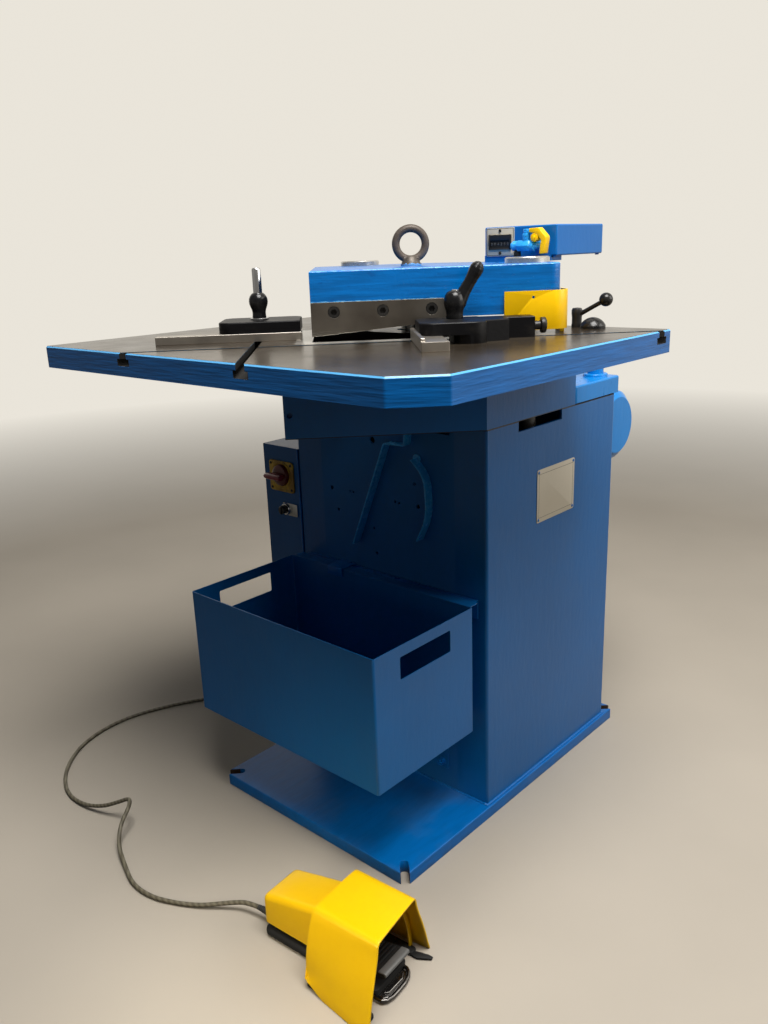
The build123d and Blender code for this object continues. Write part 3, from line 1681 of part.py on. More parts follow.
bearing_cut_top = 72
toe_x = 246
toe_y = -2
toe_length = 14
toe_width = 74
toe_height = 2


# Plan plane of the foot switch: local x points out of the hood, local y to its left.
def foot_plane(height):
    return Plane(origin=(foot_x, foot_y, height), x_dir=foot_forward, z_dir=(0, 0, 1))


# Upright lengthwise plane of the foot switch: local x forward, local y up.
def foot_side(offset_left):
    side = Plane(
        origin=(foot_x, foot_y, 0),
        x_dir=foot_forward,
        z_dir=(foot_forward[1], -foot_forward[0], 0),
    )
    return side.offset(-offset_left)


# Upright crosswise plane of the foot switch: local x to its left, local y up, facing back.
def foot_section(forward):
    section = Plane(
        origin=(foot_x, foot_y, 0),
        x_dir=(-foot_forward[1], foot_forward[0], 0),
        z_dir=foot_forward,
    )
    return section.offset(forward)


with BuildPart() as foot_base:
    with BuildSketch(foot_plane(0)):
        with Locations((body_length / 2, 0)):
            RectangleRounded(body_length, 2 * base_half, base_corner)
    extrude(amount=body_bottom)
    with BuildSketch(foot_plane(0)):
        with Locations(((body_length - sole_overlap + sole_length) / 2, 0)):
            RectangleRounded(
                sole_length - body_length + sole_overlap, 2 * sole_half_width, sole_corner
            )
    extrude(amount=sole_height)
    with BuildSketch(foot_side(0)):
        with Locations((treadle_pivot_x, treadle_pivot_z)):
            Circle(bearing_radius)
        with Locations((treadle_pivot_x, (treadle_pivot_z + sole_height) / 2)):
            Rectangle(2 * bearing_radius, treadle_pivot_z - sole_height)
    extrude(amount=treadle_half_width + bearing_width, both=True)
    with BuildSketch(foot_side(0)):
        with Locations((treadle_pivot_x + bearing_cut_shift, (bearing_cut_top + sole_height) / 2)):
            Rectangle(bearing_cut_length, bearing_cut_top - sole_height)
    extrude(amount=treadle_half_width + bearing_play, both=True, mode=Mode.SUBTRACT)
    with BuildSketch(foot_side(0)):
        with Locations((treadle_pivot_x, treadle_pivot_z)):
            Circle(treadle_pin / 2)
    extrude(amount=treadle_half_width + bearing_width, both=True)
    with BuildSketch(foot_plane(sole_height)):
        with Locations((toe_x, toe_y)):
            Rectangle(toe_length, toe_width)
    extrude(amount=toe_height)
finish(foot_base, "foot_base")

# Yellow housing behind the hood; its top climbs to meet the hood
with BuildPart() as foot_body:
    with BuildSketch(foot_side(0)):
        with BuildLine():
            Polyline(
                (0, body_bottom),
                (0, body_rear_top),
                (hood_rear, body_front_top),
                (hood_rear, body_bottom),
                close=True,
            )
        make_face()
    extrude(amount=body_half_width, both=True)
    fillet(foot_body.edges().filter_by(Axis.Z), body_corner)
    fillet(foot_body.faces().sort_by(Axis.Z)[-1].edges(), body_edge_round)
finish(foot_body, "foot_body")

# Hood: sheet arch that widens to the front and downwards, with its lower rear corners cut away
with BuildPart() as foot_hood:
    for inset in (0, hood_wall):
        with BuildSketch(foot_section(hood_rear + inset)):
            with BuildLine():
                FilletPolyline(
                    (inset - hood_foot_half, 0),
                    (inset - hood_knee_half, hood_knee_height),
                    (inset - hood_rear_half, hood_rear_height - inset),
                    (hood_rear_half - inset, hood_rear_height - inset),
                    (hood_knee_half - inset, hood_knee_height),
                    (hood_foot_half - inset, 0),
                    radius=(hood_knee_round, hood_round, hood_round, hood_knee_round),
                )
                Line((hood_foot_half - inset, 0), (inset - hood_foot_half, 0))
            make_face()
        with BuildSketch(foot_section(hood_front)):
            with BuildLine():
                FilletPolyline(
                    (inset - hood_foot_half, 0),
                    (inset - hood_knee_half, hood_knee_height),
                    (inset - hood_top_half, hood_height - inset),
                    (hood_top_half - inset, hood_height - inset),
                    (hood_knee_half - inset, hood_knee_height),
                    (hood_foot_half - inset, 0),
                    radius=(hood_knee_round, hood_round, hood_round, hood_knee_round),
                )
                Line((hood_foot_half - inset, 0), (inset - hood_foot_half, 0))
            make_face()
        loft(ruled=True, mode=Mode.ADD if inset == 0 else Mode.SUBTRACT)
    with BuildSketch(foot_section(hood_rear)):
        Rectangle(2 * sole_half_width + hood_wall, 2 * body_bottom)
    extrude(amount=hood_wall, mode=Mode.SUBTRACT)
    with BuildSketch(foot_side(0)):
        with BuildLine():
            Polyline(
                (hood_rear, 0),
                (hood_rear, hood_cut_height),
                (hood_rear + hood_cut_length, 0),
                close=True,
            )
        make_face()
    extrude(amount=2 * hood_foot_half, both=True, mode=Mode.SUBTRACT)
finish(foot_hood, "foot_hood")

with BuildPart() as foot_treadle:
    with BuildSketch(foot_side(0)):
        with BuildLine():
            Polyline(
                (treadle_pivot_x - treadle_root_back, treadle_pivot_z - treadle_root_drop),
                (treadle_pivot_x - treadle_root_back, treadle_pivot_z + treadle_root_rise),
                (treadle_front - treadle_nose, treadle_front_top),
                (treadle_front, treadle_front_step),
                (treadle_front, treadle_front_bottom),
                (treadle_front - treadle_nose, treadle_front_bottom),
                (treadle_pivot_x + treadle_root_front, treadle_pivot_z - treadle_root_drop),
                close=True,
            )
        make_face()
    extrude(amount=treadle_half_width, both=True)
    with BuildSketch(foot_side(0)):
        with Locations((treadle_pivot_x, treadle_pivot_z)):
            Circle(treadle_pin / 2 + running_gap)
    extrude(amount=treadle_half_width, both=True, mode=Mode.SUBTRACT)
finish(foot_treadle, "foot_treadle")

foot_gland_line = -18
foot_gland_height = 23
foot_gland_length = 14
foot_gland_hex = 9
foot_gland_hex_length = 10
foot_gland_collar = 7
foot_gland_run = 45
with BuildPart() as foot_gland:
    with BuildSketch(foot_section(0)):
        with Locations((foot_gland_line, foot_gland_height)):
            RegularPolygon(foot_gland_hex, 6, major_radius=False)
    extrude(amount=-foot_gland_hex_length)
    with BuildSketch(foot_section(0)):
        with Locations((foot_gland_line, foot_gland_height)):
            Circle(foot_gland_collar)
    extrude(amount=-foot_gland_length)
finish(foot_gland, "foot_gland")

# Cable from the cabinet gland down behind the bin, over the floor and into the foot switch
cable_diameter = 8
floor_line = 4.5
foot_gland_face = foot_section(-foot_gland_length).from_local_coords(
    Vector(foot_gland_line, foot_gland_height, 0)
)
foot_gland_start = foot_section(-foot_gland_length - foot_gland_run).from_local_coords(
    Vector(foot_gland_line, foot_gland_height, 0)
)
cable_route = [
    Vector(gland_x, gland_y, gland_end),
    Vector(-309, 99, 0.81 * gland_end),
    Vector(-315, 96, 0.585 * gland_end),
    Vector(-332, 88, 0.36 * gland_end),
    Vector(-368, 72, 0.173 * gland_end),
    Vector(-428, 48, 16),
    Vector(-498, 14, floor_line),
    Vector(-560, -26, floor_line),
    Vector(-606, -92, floor_line),
    Vector(-644, -170, floor_line),
    Vector(-668, -250, floor_line),
    Vector(-664, -334, floor_line),
    Vector(-630, -412, floor_line),
    Vector(-566, -476, floor_line),
    Vector(-492, -512, floor_line),
    Vector(-424, -514, 7),
    Vector(-366, -500, 20),
    Vector(-324, -485, 41),
    Vector(-292, -474, 60),
    Vector(-266, -492, 61),
    Vector(-258, -520, 40),
    Vector(-232, -544, 17),
    Vector(-184, -561, 6),
    Vector(-130, -579, floor_line),
    Vector(-76, -576, floor_line),
    Vector(-30, -557, floor_line),
    Vector(14, -532, 6),
    Vector(52, -503, 14),
    foot_gland_start,
    foot_gland_face,
]
cable_radii = []
for before, corner, after in zip(cable_route, cable_route[1:], cable_route[2:]):
    turn = math.radians((corner - before).get_angle(after - corner))
    shorter = min((corner - before).length, (after - corner).length)
    cable_radii.append(0.45 * shorter / math.tan(turn / 2))
with BuildPart() as foot_cable:
    with BuildLine() as cable_path:
        FilletPolyline(*cable_route, radius=cable_radii)
    with BuildSketch(Plane(origin=cable_route[0], z_dir=cable_route[1] - cable_route[0])):
        Circle(cable_diameter / 2)
    sweep()
finish(foot_cable, "foot_cable")
cable_length = cable_path.wires()[0].length
cable_section = math.pi * cable_diameter**2 / 4
print("cable length", round(cable_length), "radii", [round(radius) for radius in cable_radii])
print("cable volume ratio", round(foot_cable.part.volume / (cable_section * cable_length), 4))
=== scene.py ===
import math

import bmesh
import bpy
from mathutils import Matrix, Vector


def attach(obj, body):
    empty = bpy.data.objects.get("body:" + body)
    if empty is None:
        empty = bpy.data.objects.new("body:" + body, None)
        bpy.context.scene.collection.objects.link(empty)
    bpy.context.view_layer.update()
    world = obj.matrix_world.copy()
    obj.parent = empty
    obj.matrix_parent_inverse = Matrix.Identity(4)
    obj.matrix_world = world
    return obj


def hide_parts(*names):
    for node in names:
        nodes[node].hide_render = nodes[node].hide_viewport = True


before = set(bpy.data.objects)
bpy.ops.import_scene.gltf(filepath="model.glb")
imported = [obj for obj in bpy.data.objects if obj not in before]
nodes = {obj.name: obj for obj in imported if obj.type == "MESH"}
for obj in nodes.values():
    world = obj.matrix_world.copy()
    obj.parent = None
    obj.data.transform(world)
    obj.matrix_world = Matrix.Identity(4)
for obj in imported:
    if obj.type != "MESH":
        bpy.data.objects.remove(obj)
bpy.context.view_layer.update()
print("frame loaded:", len(nodes), "nodes")


def placed(name, data):
    thing = bpy.data.objects.new(name, data)
    bpy.context.scene.collection.objects.link(thing)
    return thing


def turnBy(degrees, axis):
    return Matrix.Rotation(math.radians(degrees), 4, axis)


photoView = {
    "spot": (1.1292, -1.231, 1.1015),
    "heading": 42.6,
    "dip": 16.8,
    "lean": -2.1,
    "lens": 30.55,
    "nearest": 0.05,
}


def placeCamera(view):
    lens = bpy.data.cameras.new("photoCamera")
    lens.lens = view["lens"]
    lens.clip_start = view["nearest"]
    camera = placed("photoCamera", lens)
    turn = Matrix.Translation(view["spot"]) @ turnBy(view["heading"], "Z")
    camera.matrix_world = turn @ turnBy(90 - view["dip"], "X") @ turnBy(view["lean"], "Z")
    bpy.context.scene.camera = camera


placeCamera(photoView)
print("camera placed")

# the cable: same route as the solid, from the cabinet gland to the foot switch gland
cableLook = {
    "diameter": 0.008,
    "length": 1.80,
    "route": [
        (-0.308, 0.1, 0.312), (-0.309, 0.099, 0.2527), (-0.315, 0.096, 0.1825), (-0.332, 0.088, 0.1123),
        (-0.368, 0.072, 0.054), (-0.428, 0.048, 0.016), (-0.498, 0.014, 0.0045), (-0.56, -0.026, 0.0045),
        (-0.606, -0.092, 0.0045), (-0.644, -0.17, 0.0045), (-0.668, -0.25, 0.0045), (-0.664, -0.334, 0.0045),
        (-0.63, -0.412, 0.0045), (-0.566, -0.476, 0.0045), (-0.492, -0.512, 0.0045), (-0.424, -0.514, 0.007),
        (-0.366, -0.5, 0.02), (-0.324, -0.485, 0.041), (-0.292, -0.474, 0.06), (-0.266, -0.492, 0.061),
        (-0.258, -0.52, 0.04), (-0.232, -0.544, 0.017), (-0.184, -0.561, 0.006), (-0.13, -0.579, 0.0045),
        (-0.076, -0.576, 0.0045), (-0.03, -0.557, 0.0045), (0.014, -0.532, 0.006), (0.052, -0.503, 0.014),
        (0.09079, -0.48107, 0.023), (0.13562, -0.47715, 0.023),
    ],
}


def cableCurve(name, look, thickness):
    curve = bpy.data.curves.new(name, "CURVE")
    curve.dimensions = "3D"
    curve.bevel_depth = 1 if thickness else 0
    curve.bevel_resolution = 4
    curve.resolution_u = 10
    curve.use_fill_caps = thickness > 0
    line = curve.splines.new("NURBS")
    line.points.add(len(look["route"]) - 1)
    for point, spot in zip(line.points, look["route"]):
        point.co = (*spot, 1)
        point.radius = thickness
    line.order_u = 3
    line.use_endpoint_u = True
    return placed(name, curve)


def layCable(look):
    cable = cableCurve("footCable", look, look["diameter"] / 2)
    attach(cable, "machine")
    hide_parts("foot_cable")
    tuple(look["route"][0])
    return cable


def cablePath(look):
    # the middle line of the laid cable, in mm from the cabinet to the foot switch
    bare = cableCurve("cableMiddle", look, 0)
    mesh = bpy.data.meshes.new_from_object(bare)
    spots = [vertex.co * 1000 for vertex in mesh.vertices]
    bpy.data.objects.remove(bare)
    bpy.data.meshes.remove(mesh)
    return spots


footCable = layCable(cableLook)
cableMiddle = cablePath(cableLook)
print("cable laid")


# a Wire is one socket of a node tree; sums with wires add Math nodes to the tree
class Wire:
    def __init__(self, owner, socket):
        self.owner = owner
        self.socket = socket

    def work(self, operation, first, second=0.0):
        return self.owner.node("ShaderNodeMath", {"operation": operation}, {0: first, 1: second})

    def __rsub__(self, other):
        return self.work("SUBTRACT", other, self)

    def fit(self, low, high, bottom=0.0, top=1.0):
        values = {"Value": self, "From Min": low, "From Max": high, "To Min": bottom, "To Max": top}
        return self.owner.node("ShaderNodeMapRange", {"clamp": True}, values)

    def size(self):
        return self.work("ABSOLUTE", self)


wireSums = {
    "__add__": "ADD",
    "__radd__": "ADD",
    "__sub__": "SUBTRACT",
    "__mul__": "MULTIPLY",
    "smaller": "MINIMUM",
    "larger": "MAXIMUM",
    "above": "GREATER_THAN",
    "below": "LESS_THAN",
}
for sumName, mathNode in wireSums.items():
    setattr(Wire, sumName, lambda self, other, operation=mathNode: self.work(operation, self, other))


class Nodes:
    def __init__(self, tree):
        self.tree = tree

    def feed(self, socket, value):
        if isinstance(value, Wire):
            self.tree.links.new(value.socket, socket)
        else:
            socket.default_value = value

    def node(self, kind, settings=None, values=None, result=0):
        made = self.tree.nodes.new(kind)
        for name, value in (settings or {}).items():
            setattr(made, name, value)
        for name, value in (values or {}).items():
            self.feed(made.inputs[name], value)
        return Wire(self, made.outputs[result])

    def ray(self, kind):
        return self.node("ShaderNodeLightPath", result=f"Is {kind} Ray")

    def mix(self, share, low, high, ending):
        # the last step of a tree: the shader node low where share is 0, high where it is 1
        mixed = self.node("ShaderNodeMixShader", values={0: share, 1: Wire(self, low.outputs[0]), 2: high})
        self.feed(self.tree.nodes[ending].inputs[0], mixed)


class Finish(Nodes):
    def __init__(self, name, colour, roughness=0.5, metallic=0.0, specular=0.5):
        self.material = bpy.data.materials.new(name)
        self.material.use_nodes = True
        super().__init__(self.material.node_tree)
        self.shader = self.tree.nodes["Principled BSDF"]
        self.put("Base Color", (*colour, 1))
        self.put("Roughness", roughness)
        self.put("Metallic", metallic)
        self.put("Specular IOR Level", specular)
        self.place = self.node("ShaderNodeTexCoord", result="Object")

    def put(self, name, value):
        self.feed(self.shader.inputs[name], value)

    def axis(self, name):
        return self.node("ShaderNodeSeparateXYZ", values={0: self.place}, result=name)

    def cloud(self, scale, detail=3.0, stretch=(1, 1, 1)):
        where = self.node("ShaderNodeMapping", values={"Vector": self.place, "Scale": stretch})
        return self.node("ShaderNodeTexNoise", values={"Vector": where, "Scale": scale, "Detail": detail})

    def blend(self, mask, low, high):
        low = low if isinstance(low, Wire) else (*low, 1)
        high = high if isinstance(high, Wire) else (*high, 1)
        return self.node("ShaderNodeMix", {"data_type": "RGBA"}, {0: mask, 6: low, 7: high}, 2)

    def dress(self, colour, roughness, height, depth):
        # colour, gloss and relief of the whole surface
        self.put("Base Color", colour)
        self.put("Roughness", roughness)
        self.put("Normal", self.node("ShaderNodeBump", values={"Height": height, "Distance": depth, "Strength": 1}))
        return self

    def wear(self, *names):
        for name in names:
            for slot in nodes[name].material_slots:
                slot.link = "OBJECT"
                slot.material = self.material
        return self


def tinted(colour, amount):
    return tuple(min(1.0, part * amount) for part in colour)


# brushed enamel: streaky coat, faint orange peel, thin film of workshop dust
enamelLook = {
    "blue": (0.0, 0.14, 0.47),
    # a darker copy of the blue: painted shade on the column, die frame, cabinet, lower cover and bin under the table
    "shadeDarkenedBlue": (0.0, 0.115, 0.36),
    "lightBlue": (0.0, 0.22, 0.64),
    "palest": (0.03, 0.36, 0.8),
    "yellow": (0.96, 0.56, 0.0),
    "dust": (0.16, 0.21, 0.27),
    "patchSize": 3.2,
    "strokeSize": 85,
    "peelSize": 260,
}


def brushedCoat(paint, colour, strokes, dusty=0.12, contrast=0.14):
    patches = paint.cloud(enamelLook["patchSize"], 4.0)
    streaks = paint.cloud(enamelLook["strokeSize"], 2.0, strokes)
    tone = paint.blend(patches.fit(0.3, 0.7), tinted(colour, 0.88), tinted(colour, 1.06))
    tone = paint.blend(streaks.fit(0.45, 0.75, 0.0, contrast), tone, tinted(colour, 1.6))
    tone = paint.blend(streaks.fit(0.5, 0.25, 0.0, contrast), tone, tinted(colour, 0.45))
    dust = paint.cloud(9, 6.0).fit(0.52, 0.8, 0.0, dusty)
    return paint.blend(dust, tone, enamelLook["dust"]), patches, streaks


def orangePeel(paint, streaks):
    return streaks * 0.75 + paint.cloud(enamelLook["peelSize"], 2.0) * 0.25


def enamel(name, colour, gloss=0.22, strokes=(1, 1, 0.3), depth=0.0004, dusty=0.04, contrast=0.035):
    paint = Finish(name, enamelLook[colour], specular=0.42)
    coat, patches, streaks = brushedCoat(paint, enamelLook[colour], strokes, dusty, contrast)
    return paint.dress(coat, gloss + patches * 0.08 + streaks * 0.06, orangePeel(paint, streaks), depth)


blueEnamel = enamel("blueEnamel", "blue").wear("tank", "counter_case", "cover_nuts")
# painted shade: the cabinet, its door, the lower cover and the bin wear the darker copy of the blue
enamel("shadeDarkenedEnamel", "shadeDarkenedBlue", 0.3).wear("cabinet", "cabinet_door", "lower_cover", "scrap_bin")
enamel("paleBlueEnamel", "lightBlue").wear("tank_lid", "motor_body", "motor_cowl", "pump", "filler_cap")
# the scrap strap and band wear the valve's palest blue as a painted highlight; on the valve it is its own paint
valveBlueAndStrapHighlight = enamel("valveBlueAndStrapHighlight", "palest", 0.2, (1, 1, 1), 0.0003, 0.0).wear("scrap_strap", "scrap_band")
yellowEnamel = enamel("yellowEnamel", "yellow", 0.24, (1, 1, 1), 0.0002, 0.0, 0.03).wear("side_guard")

# the blades meet at the nose, this far in front of the machine's middle in mm, and run off at 45 degrees
nose = 172
diagonal = 0.7071

# places on the finishes below are in metres: a seam or step is its lower and upper height
frameLook = {"seam": (0.7886, 0.7914), "chuteSkin": 0.003, "chuteRear": 0.05, "chuteSide": 0.206, "chuteLow": 0.78}


def frameEnamel(look):
    # column and die frame: the darker copy of the blue as painted shade, a dark joint between the two, dull walls in
    # the scrap opening darkened to near-black as painted shade
    paint = Finish("frameEnamel", enamelLook["shadeDarkenedBlue"], specular=0.4)
    coat, patches, streaks = brushedCoat(paint, enamelLook["shadeDarkenedBlue"], (1, 1, 0.3), 0.05, 0.04)
    x, y, height = (paint.axis(name) for name in "XYZ")
    low, high = look["seam"]
    right = ((x - y - nose / 1000) * diagonal).below(look["chuteSkin"])
    left = ((x + y + nose / 1000) * -diagonal).below(look["chuteSkin"])
    inside = right * left * y.below(look["chuteRear"]) * x.size().below(look["chuteSide"])
    # the walls in the scrap opening darkened to near-black: painted shade
    coat = paint.blend(inside * height.above(look["chuteLow"]), coat, (0.018, 0.016, 0.014))
    coat = paint.blend(height.above(low) * height.below(high), coat, (0.003, 0.006, 0.012))
    roughness = 0.24 + patches * 0.08 + streaks * 0.06 + inside * 0.3
    return paint.dress(coat, roughness, orangePeel(paint, streaks), 0.0005)


# rim and step: the bands of painted highlight along the ram's top edge and its lower edge, lower and upper height
ramLook = {"rim": (1.0688, 1.0695), "step": (1.0155, 1.0182), "stepSide": 0.155, "scuffTop": 1.066}


def ramEnamel(look):
    # heavy sideways brush marks, painted highlights in a lighter blue along the top edge and along the lower edge
    # just above the blades, scuffs on the side
    paint = Finish("ramEnamel", enamelLook["blue"], specular=0.42)
    coat, patches, streaks = brushedCoat(paint, enamelLook["blue"], (0.12, 0.12, 1.3), 0.1, 0.4)
    height = paint.axis("Z")
    ragged = height + paint.cloud(140, 3.0).fit(0.3, 0.7, -0.0012, 0.0012)
    low, high = look["step"]
    rimLow, rimHigh = look["rim"]
    step = ragged.below(high) * ragged.above(low) * paint.axis("X").size().below(look["stepSide"])
    highlightBands = ragged.above(rimLow).larger(step) * height.below(rimHigh)
    scuffs = paint.cloud(45, 5.0, (1, 1, 2)).fit(0.62, 0.72, 0.0, 0.45) * ragged.below(look["scuffTop"])
    # the lighter blue on the rim and step bands is painted highlight; the darker blue patches are scuffs
    coat = paint.blend(scuffs, paint.blend(highlightBands, coat, (0.12, 0.42, 0.78)), (0.0, 0.075, 0.3))
    relief = streaks * 0.8 + paint.cloud(120, 4.0) * 0.2
    return paint.dress(coat, 0.22 + patches * 0.1 + scuffs * 0.2, relief, 0.0011)


baseLook = {"middle": 0.123, "slotReach": 0.424, "slotLine": 0.0898, "slotHalf": 0.0085, "grimeTop": 0.012}


def baseEnamel(look):
    # base plate: the same blue, with grime along the floor, and rust darkened into painted shade in the four anchor
    # slots
    paint = Finish("basePlateEnamel", enamelLook["blue"], specular=0.3)
    coat, patches, streaks = brushedCoat(paint, enamelLook["blue"], (1, 0.2, 1), 0.2)
    sideways = paint.axis("X").size() * diagonal
    lengthways = (paint.axis("Y") - look["middle"]).size() * diagonal
    across = (sideways - lengthways + look["slotLine"]).size()
    inSlot = (sideways + lengthways).above(look["slotReach"]) * across.below(look["slotHalf"])
    grime = paint.axis("Z").fit(look["grimeTop"], 0.0, 0.0, 0.55) * paint.cloud(60, 4.0).fit(0.35, 0.65)
    # the anchor slots darkened to rust brown: rust and painted shade
    coat = paint.blend(inSlot, paint.blend(grime, coat, (0.06, 0.05, 0.04)), (0.035, 0.018, 0.01))
    return paint.dress(coat, 0.3 + patches * 0.1 + inSlot * 0.4, streaks, 0.0006)


tableLook = {
    # rim: the band along the top edge that carries the painted highlight; the paint ends at its top
    "rim": (0.9474, 0.9497),
    "slotLines": (0.045, 0.099),
    # foot and neck of the tee slots: half width, lower and upper height
    "channels": [(0.0123, 0.9275, 0.9393), (0.0073, 0.939, 0.9495)],
    "openingReach": 0.173,
    "openingRear": 0.03,
    "openingSide": 0.203,
}


def tableFinish(look):
    # oiled steel top; brushed blue edges and underside in a slightly darker copy of the blue as painted shade, with a
    # painted highlight along the top rim; tee slots and scrap opening darkened to near-black, oiled steel with
    # painted shade; bare studs
    table = Finish("tableSteelAndEnamel", (0.2, 0.175, 0.145), 0.3, 0.9, 0.35)
    film = table.cloud(4.5, 5.0)
    stain = table.cloud(17, 6.0)
    steel = table.blend(film.fit(0.32, 0.68), (0.05, 0.038, 0.026), (0.125, 0.1, 0.072))
    steel = table.blend(stain.fit(0.54, 0.72, 0.0, 0.5), steel, (0.04, 0.028, 0.018))
    # the edges wear a slightly darker copy of the blue: painted shade
    coat, patches, streaks = brushedCoat(table, (0.0, 0.125, 0.42), (0.16, 0.16, 2.2), 0.03, 0.24)
    x, y, height = (table.axis(name) for name in "XYZ")
    rimLow, rimHigh = look["rim"]
    # painted highlight in a lighter blue along the top rim
    coat = table.blend(height.above(rimLow) * height.below(rimHigh), coat, (0.1, 0.42, 0.8))
    along = x + y
    across = x - y
    rightLine, leftLine = look["slotLines"]
    rightSlot = ((across - nose / 1000) * diagonal - rightLine).size()
    leftSlot = ((along + nose / 1000) * -diagonal - leftLine).size()
    nearest = rightSlot.smaller(leftSlot)
    channels = [nearest.below(half) * height.above(low) * height.below(high) for half, low, high in look["channels"]]
    reach = look["openingReach"]
    opening = across.below(reach) * along.above(-reach) * y.below(look["openingRear"]) * height.below(rimHigh)
    inSlot = channels[0].larger(channels[1]).larger(opening * x.size().below(look["openingSide"]))
    painted = height.below(rimHigh) * (1 - inSlot)
    metal = 1 - painted
    # the tee slots and the scrap opening darkened to near-black: oiled steel with painted shade
    bare = table.blend(inSlot, steel, (0.012, 0.011, 0.01))
    table.put("Metallic", metal * 0.6 * (1 - inSlot * 0.7))
    shine = painted * (0.24 + patches * 0.1) + metal * (0.1 + film * 0.14 + stain * 0.14) + inSlot * 0.4
    grain = table.cloud(700, 2.0, (0.03, 1, 1)) * 0.3 + table.cloud(500, 2.0, (1, 0.04, 1)) * 0.2
    relief = painted * streaks * 8.0 + metal * grain + metal * stain * 0.12
    return table.dress(table.blend(painted, bare, coat), shine, relief, 0.00012)


def groundSteel(name, tone, stretch, roughness=0.28, lineDepth=0.00006):
    steel = Finish(name, tone, roughness, 1.0)
    lines = steel.cloud(900, 2.0, stretch)
    bloom = steel.cloud(14, 4.0)
    shade = steel.blend(bloom.fit(0.35, 0.7), tinted(tone, 0.7), tinted(tone, 1.08))
    return steel.dress(shade, roughness - 0.06 + lines * 0.12 + bloom * 0.08, lines, lineDepth)


def bladeFinish(name, edgeLow, edgeHigh):
    # dull ground faces, a bright strip along the cutting edge: worn steel with a painted highlight
    steel = groundSteel(name, (0.24, 0.215, 0.185), (0.05, 0.05, 1), 0.34)
    height = steel.axis("Z")
    edge = height.above(edgeLow) * height.below(edgeHigh)
    bloom = steel.cloud(10, 5.0).fit(0.3, 0.7)
    dull = steel.blend(bloom, (0.15, 0.13, 0.11), (0.28, 0.255, 0.22))
    # bright strip along the cutting edge: worn steel with a painted highlight
    steel.put("Base Color", steel.blend(edge, dull, (0.46, 0.44, 0.4)))
    steel.put("Roughness", 0.36 - edge * 0.18 + bloom * 0.06)
    return steel


def blackened(name, tone, roughness=0.42, grain=300, depth=0.0002, worn=(0.05, 0.047, 0.043)):
    steel = Finish(name, tone, roughness, 0.2, 0.4)
    spots = steel.cloud(30, 5.0)
    shade = steel.blend(spots.fit(0.55, 0.85), tone, worn)
    return steel.dress(shade, roughness + spots * 0.12, steel.cloud(grain, 3.0), depth)


def moulded(name, colour, roughness=0.4):
    plastic = Finish(name, colour, roughness)
    speck = plastic.cloud(60, 4.0)
    shade = plastic.blend(speck, tinted(colour, 0.85), tinted(colour, 1.15))
    return plastic.dress(shade, roughness - 0.05 + speck * 0.12, plastic.cloud(700, 2.0), 0.00008)


def guideFinish(shadeTop):
    # bright columns, with painted shade low down where they run in the bushes
    steel = groundSteel("guideSteel", (0.62, 0.61, 0.58), (1, 1, 1), 0.24)
    shadeBelow = steel.axis("Z").below(shadeTop)
    steel.put("Base Color", steel.blend(shadeBelow, (0.62, 0.61, 0.58), (0.03, 0.027, 0.024)))
    steel.put("Metallic", 0.95 - shadeBelow * 0.6)
    return steel


frameEnamel(frameLook).wear("column", "die_frame")
ramEnamel(ramLook).wear("ram")
baseEnamel(baseLook).wear("base_plate")
tableFinish(tableLook).wear("table")
bladeFinish("upperBladeSteel", 0.0, 0.9665).wear("upper_blade_left", "upper_blade_right")
lowerBladeSteel = bladeFinish("lowerBladeSteel", 0.9455, 1.0).wear("lower_blade_left", "lower_blade_right")
lowerBladeSteel.put("Metallic", 0.6)
groundSteel("fenceSteel", (0.5, 0.46, 0.41), (0.2, 0.2, 1), 0.34).wear("left_fence", "right_fence")
groundSteel("shaftSteel", (0.62, 0.62, 0.62), (1, 1, 0.05), 0.2).wear("piston_rod", "motor_fan")
guideFinish(0.93).wear("guide_columns")
groundSteel("bushBronze", (0.5, 0.33, 0.13), (1, 1, 0.2)).wear("guide_bushes")
darkSteel = groundSteel("darkSteel", (0.2, 0.19, 0.18), (1, 1, 1), 0.22).wear("cylinder")
chrome = groundSteel("chrome", (0.75, 0.75, 0.76), (1, 1, 0.1), 0.1, 0.00002)
plateSilver = groundSteel("plateSilver", (0.5, 0.5, 0.48), (1, 1, 0.1), 0.4)
plateBlack = blackened("plateBlack", (0.005, 0.005, 0.006), 0.36, 180, 0.0003, (0.022, 0.02, 0.018))
plateBlack.put("Specular IOR Level", 0.2)
plateBlack.wear("left_stop_plate", "right_stop_plate", "left_tee_bolt", "right_tee_bolt")
glossBlack = blackened("glossBlack", (0.008, 0.008, 0.009), 0.16, 120, 0.0001).wear("table_knob")
screwBlack = blackened("screwBlack", (0.02, 0.019, 0.018), 0.3).wear("blade_screws")
forgedBrown = blackened("forgedSteel", (0.085, 0.066, 0.052), 0.42, 160, 0.0005, (0.16, 0.13, 0.105))
castBlack = blackened("castBlack", (0.014, 0.014, 0.014), 0.6, 420, 0.0004, (0.03, 0.028, 0.025))
castBlack.wear("lid_gasket")
redGrip = moulded("redPlastic", (0.34, 0.02, 0.04), 0.3)
darkRed = moulded("darkRedPlastic", (0.13, 0.006, 0.008), 0.34)
blackPlastic = moulded("blackPlastic", (0.014, 0.014, 0.015))
blackPlastic.wear("cabinet_gland", "foot_gland", "contactor_plate")
digitGrey = moulded("digitGrey", (0.13, 0.13, 0.12), 0.6)
greyRubber = moulded("greyTread", (0.13, 0.13, 0.125), 0.5)
plateLine = moulded("engravedGrey", (0.16, 0.14, 0.11), 0.5)


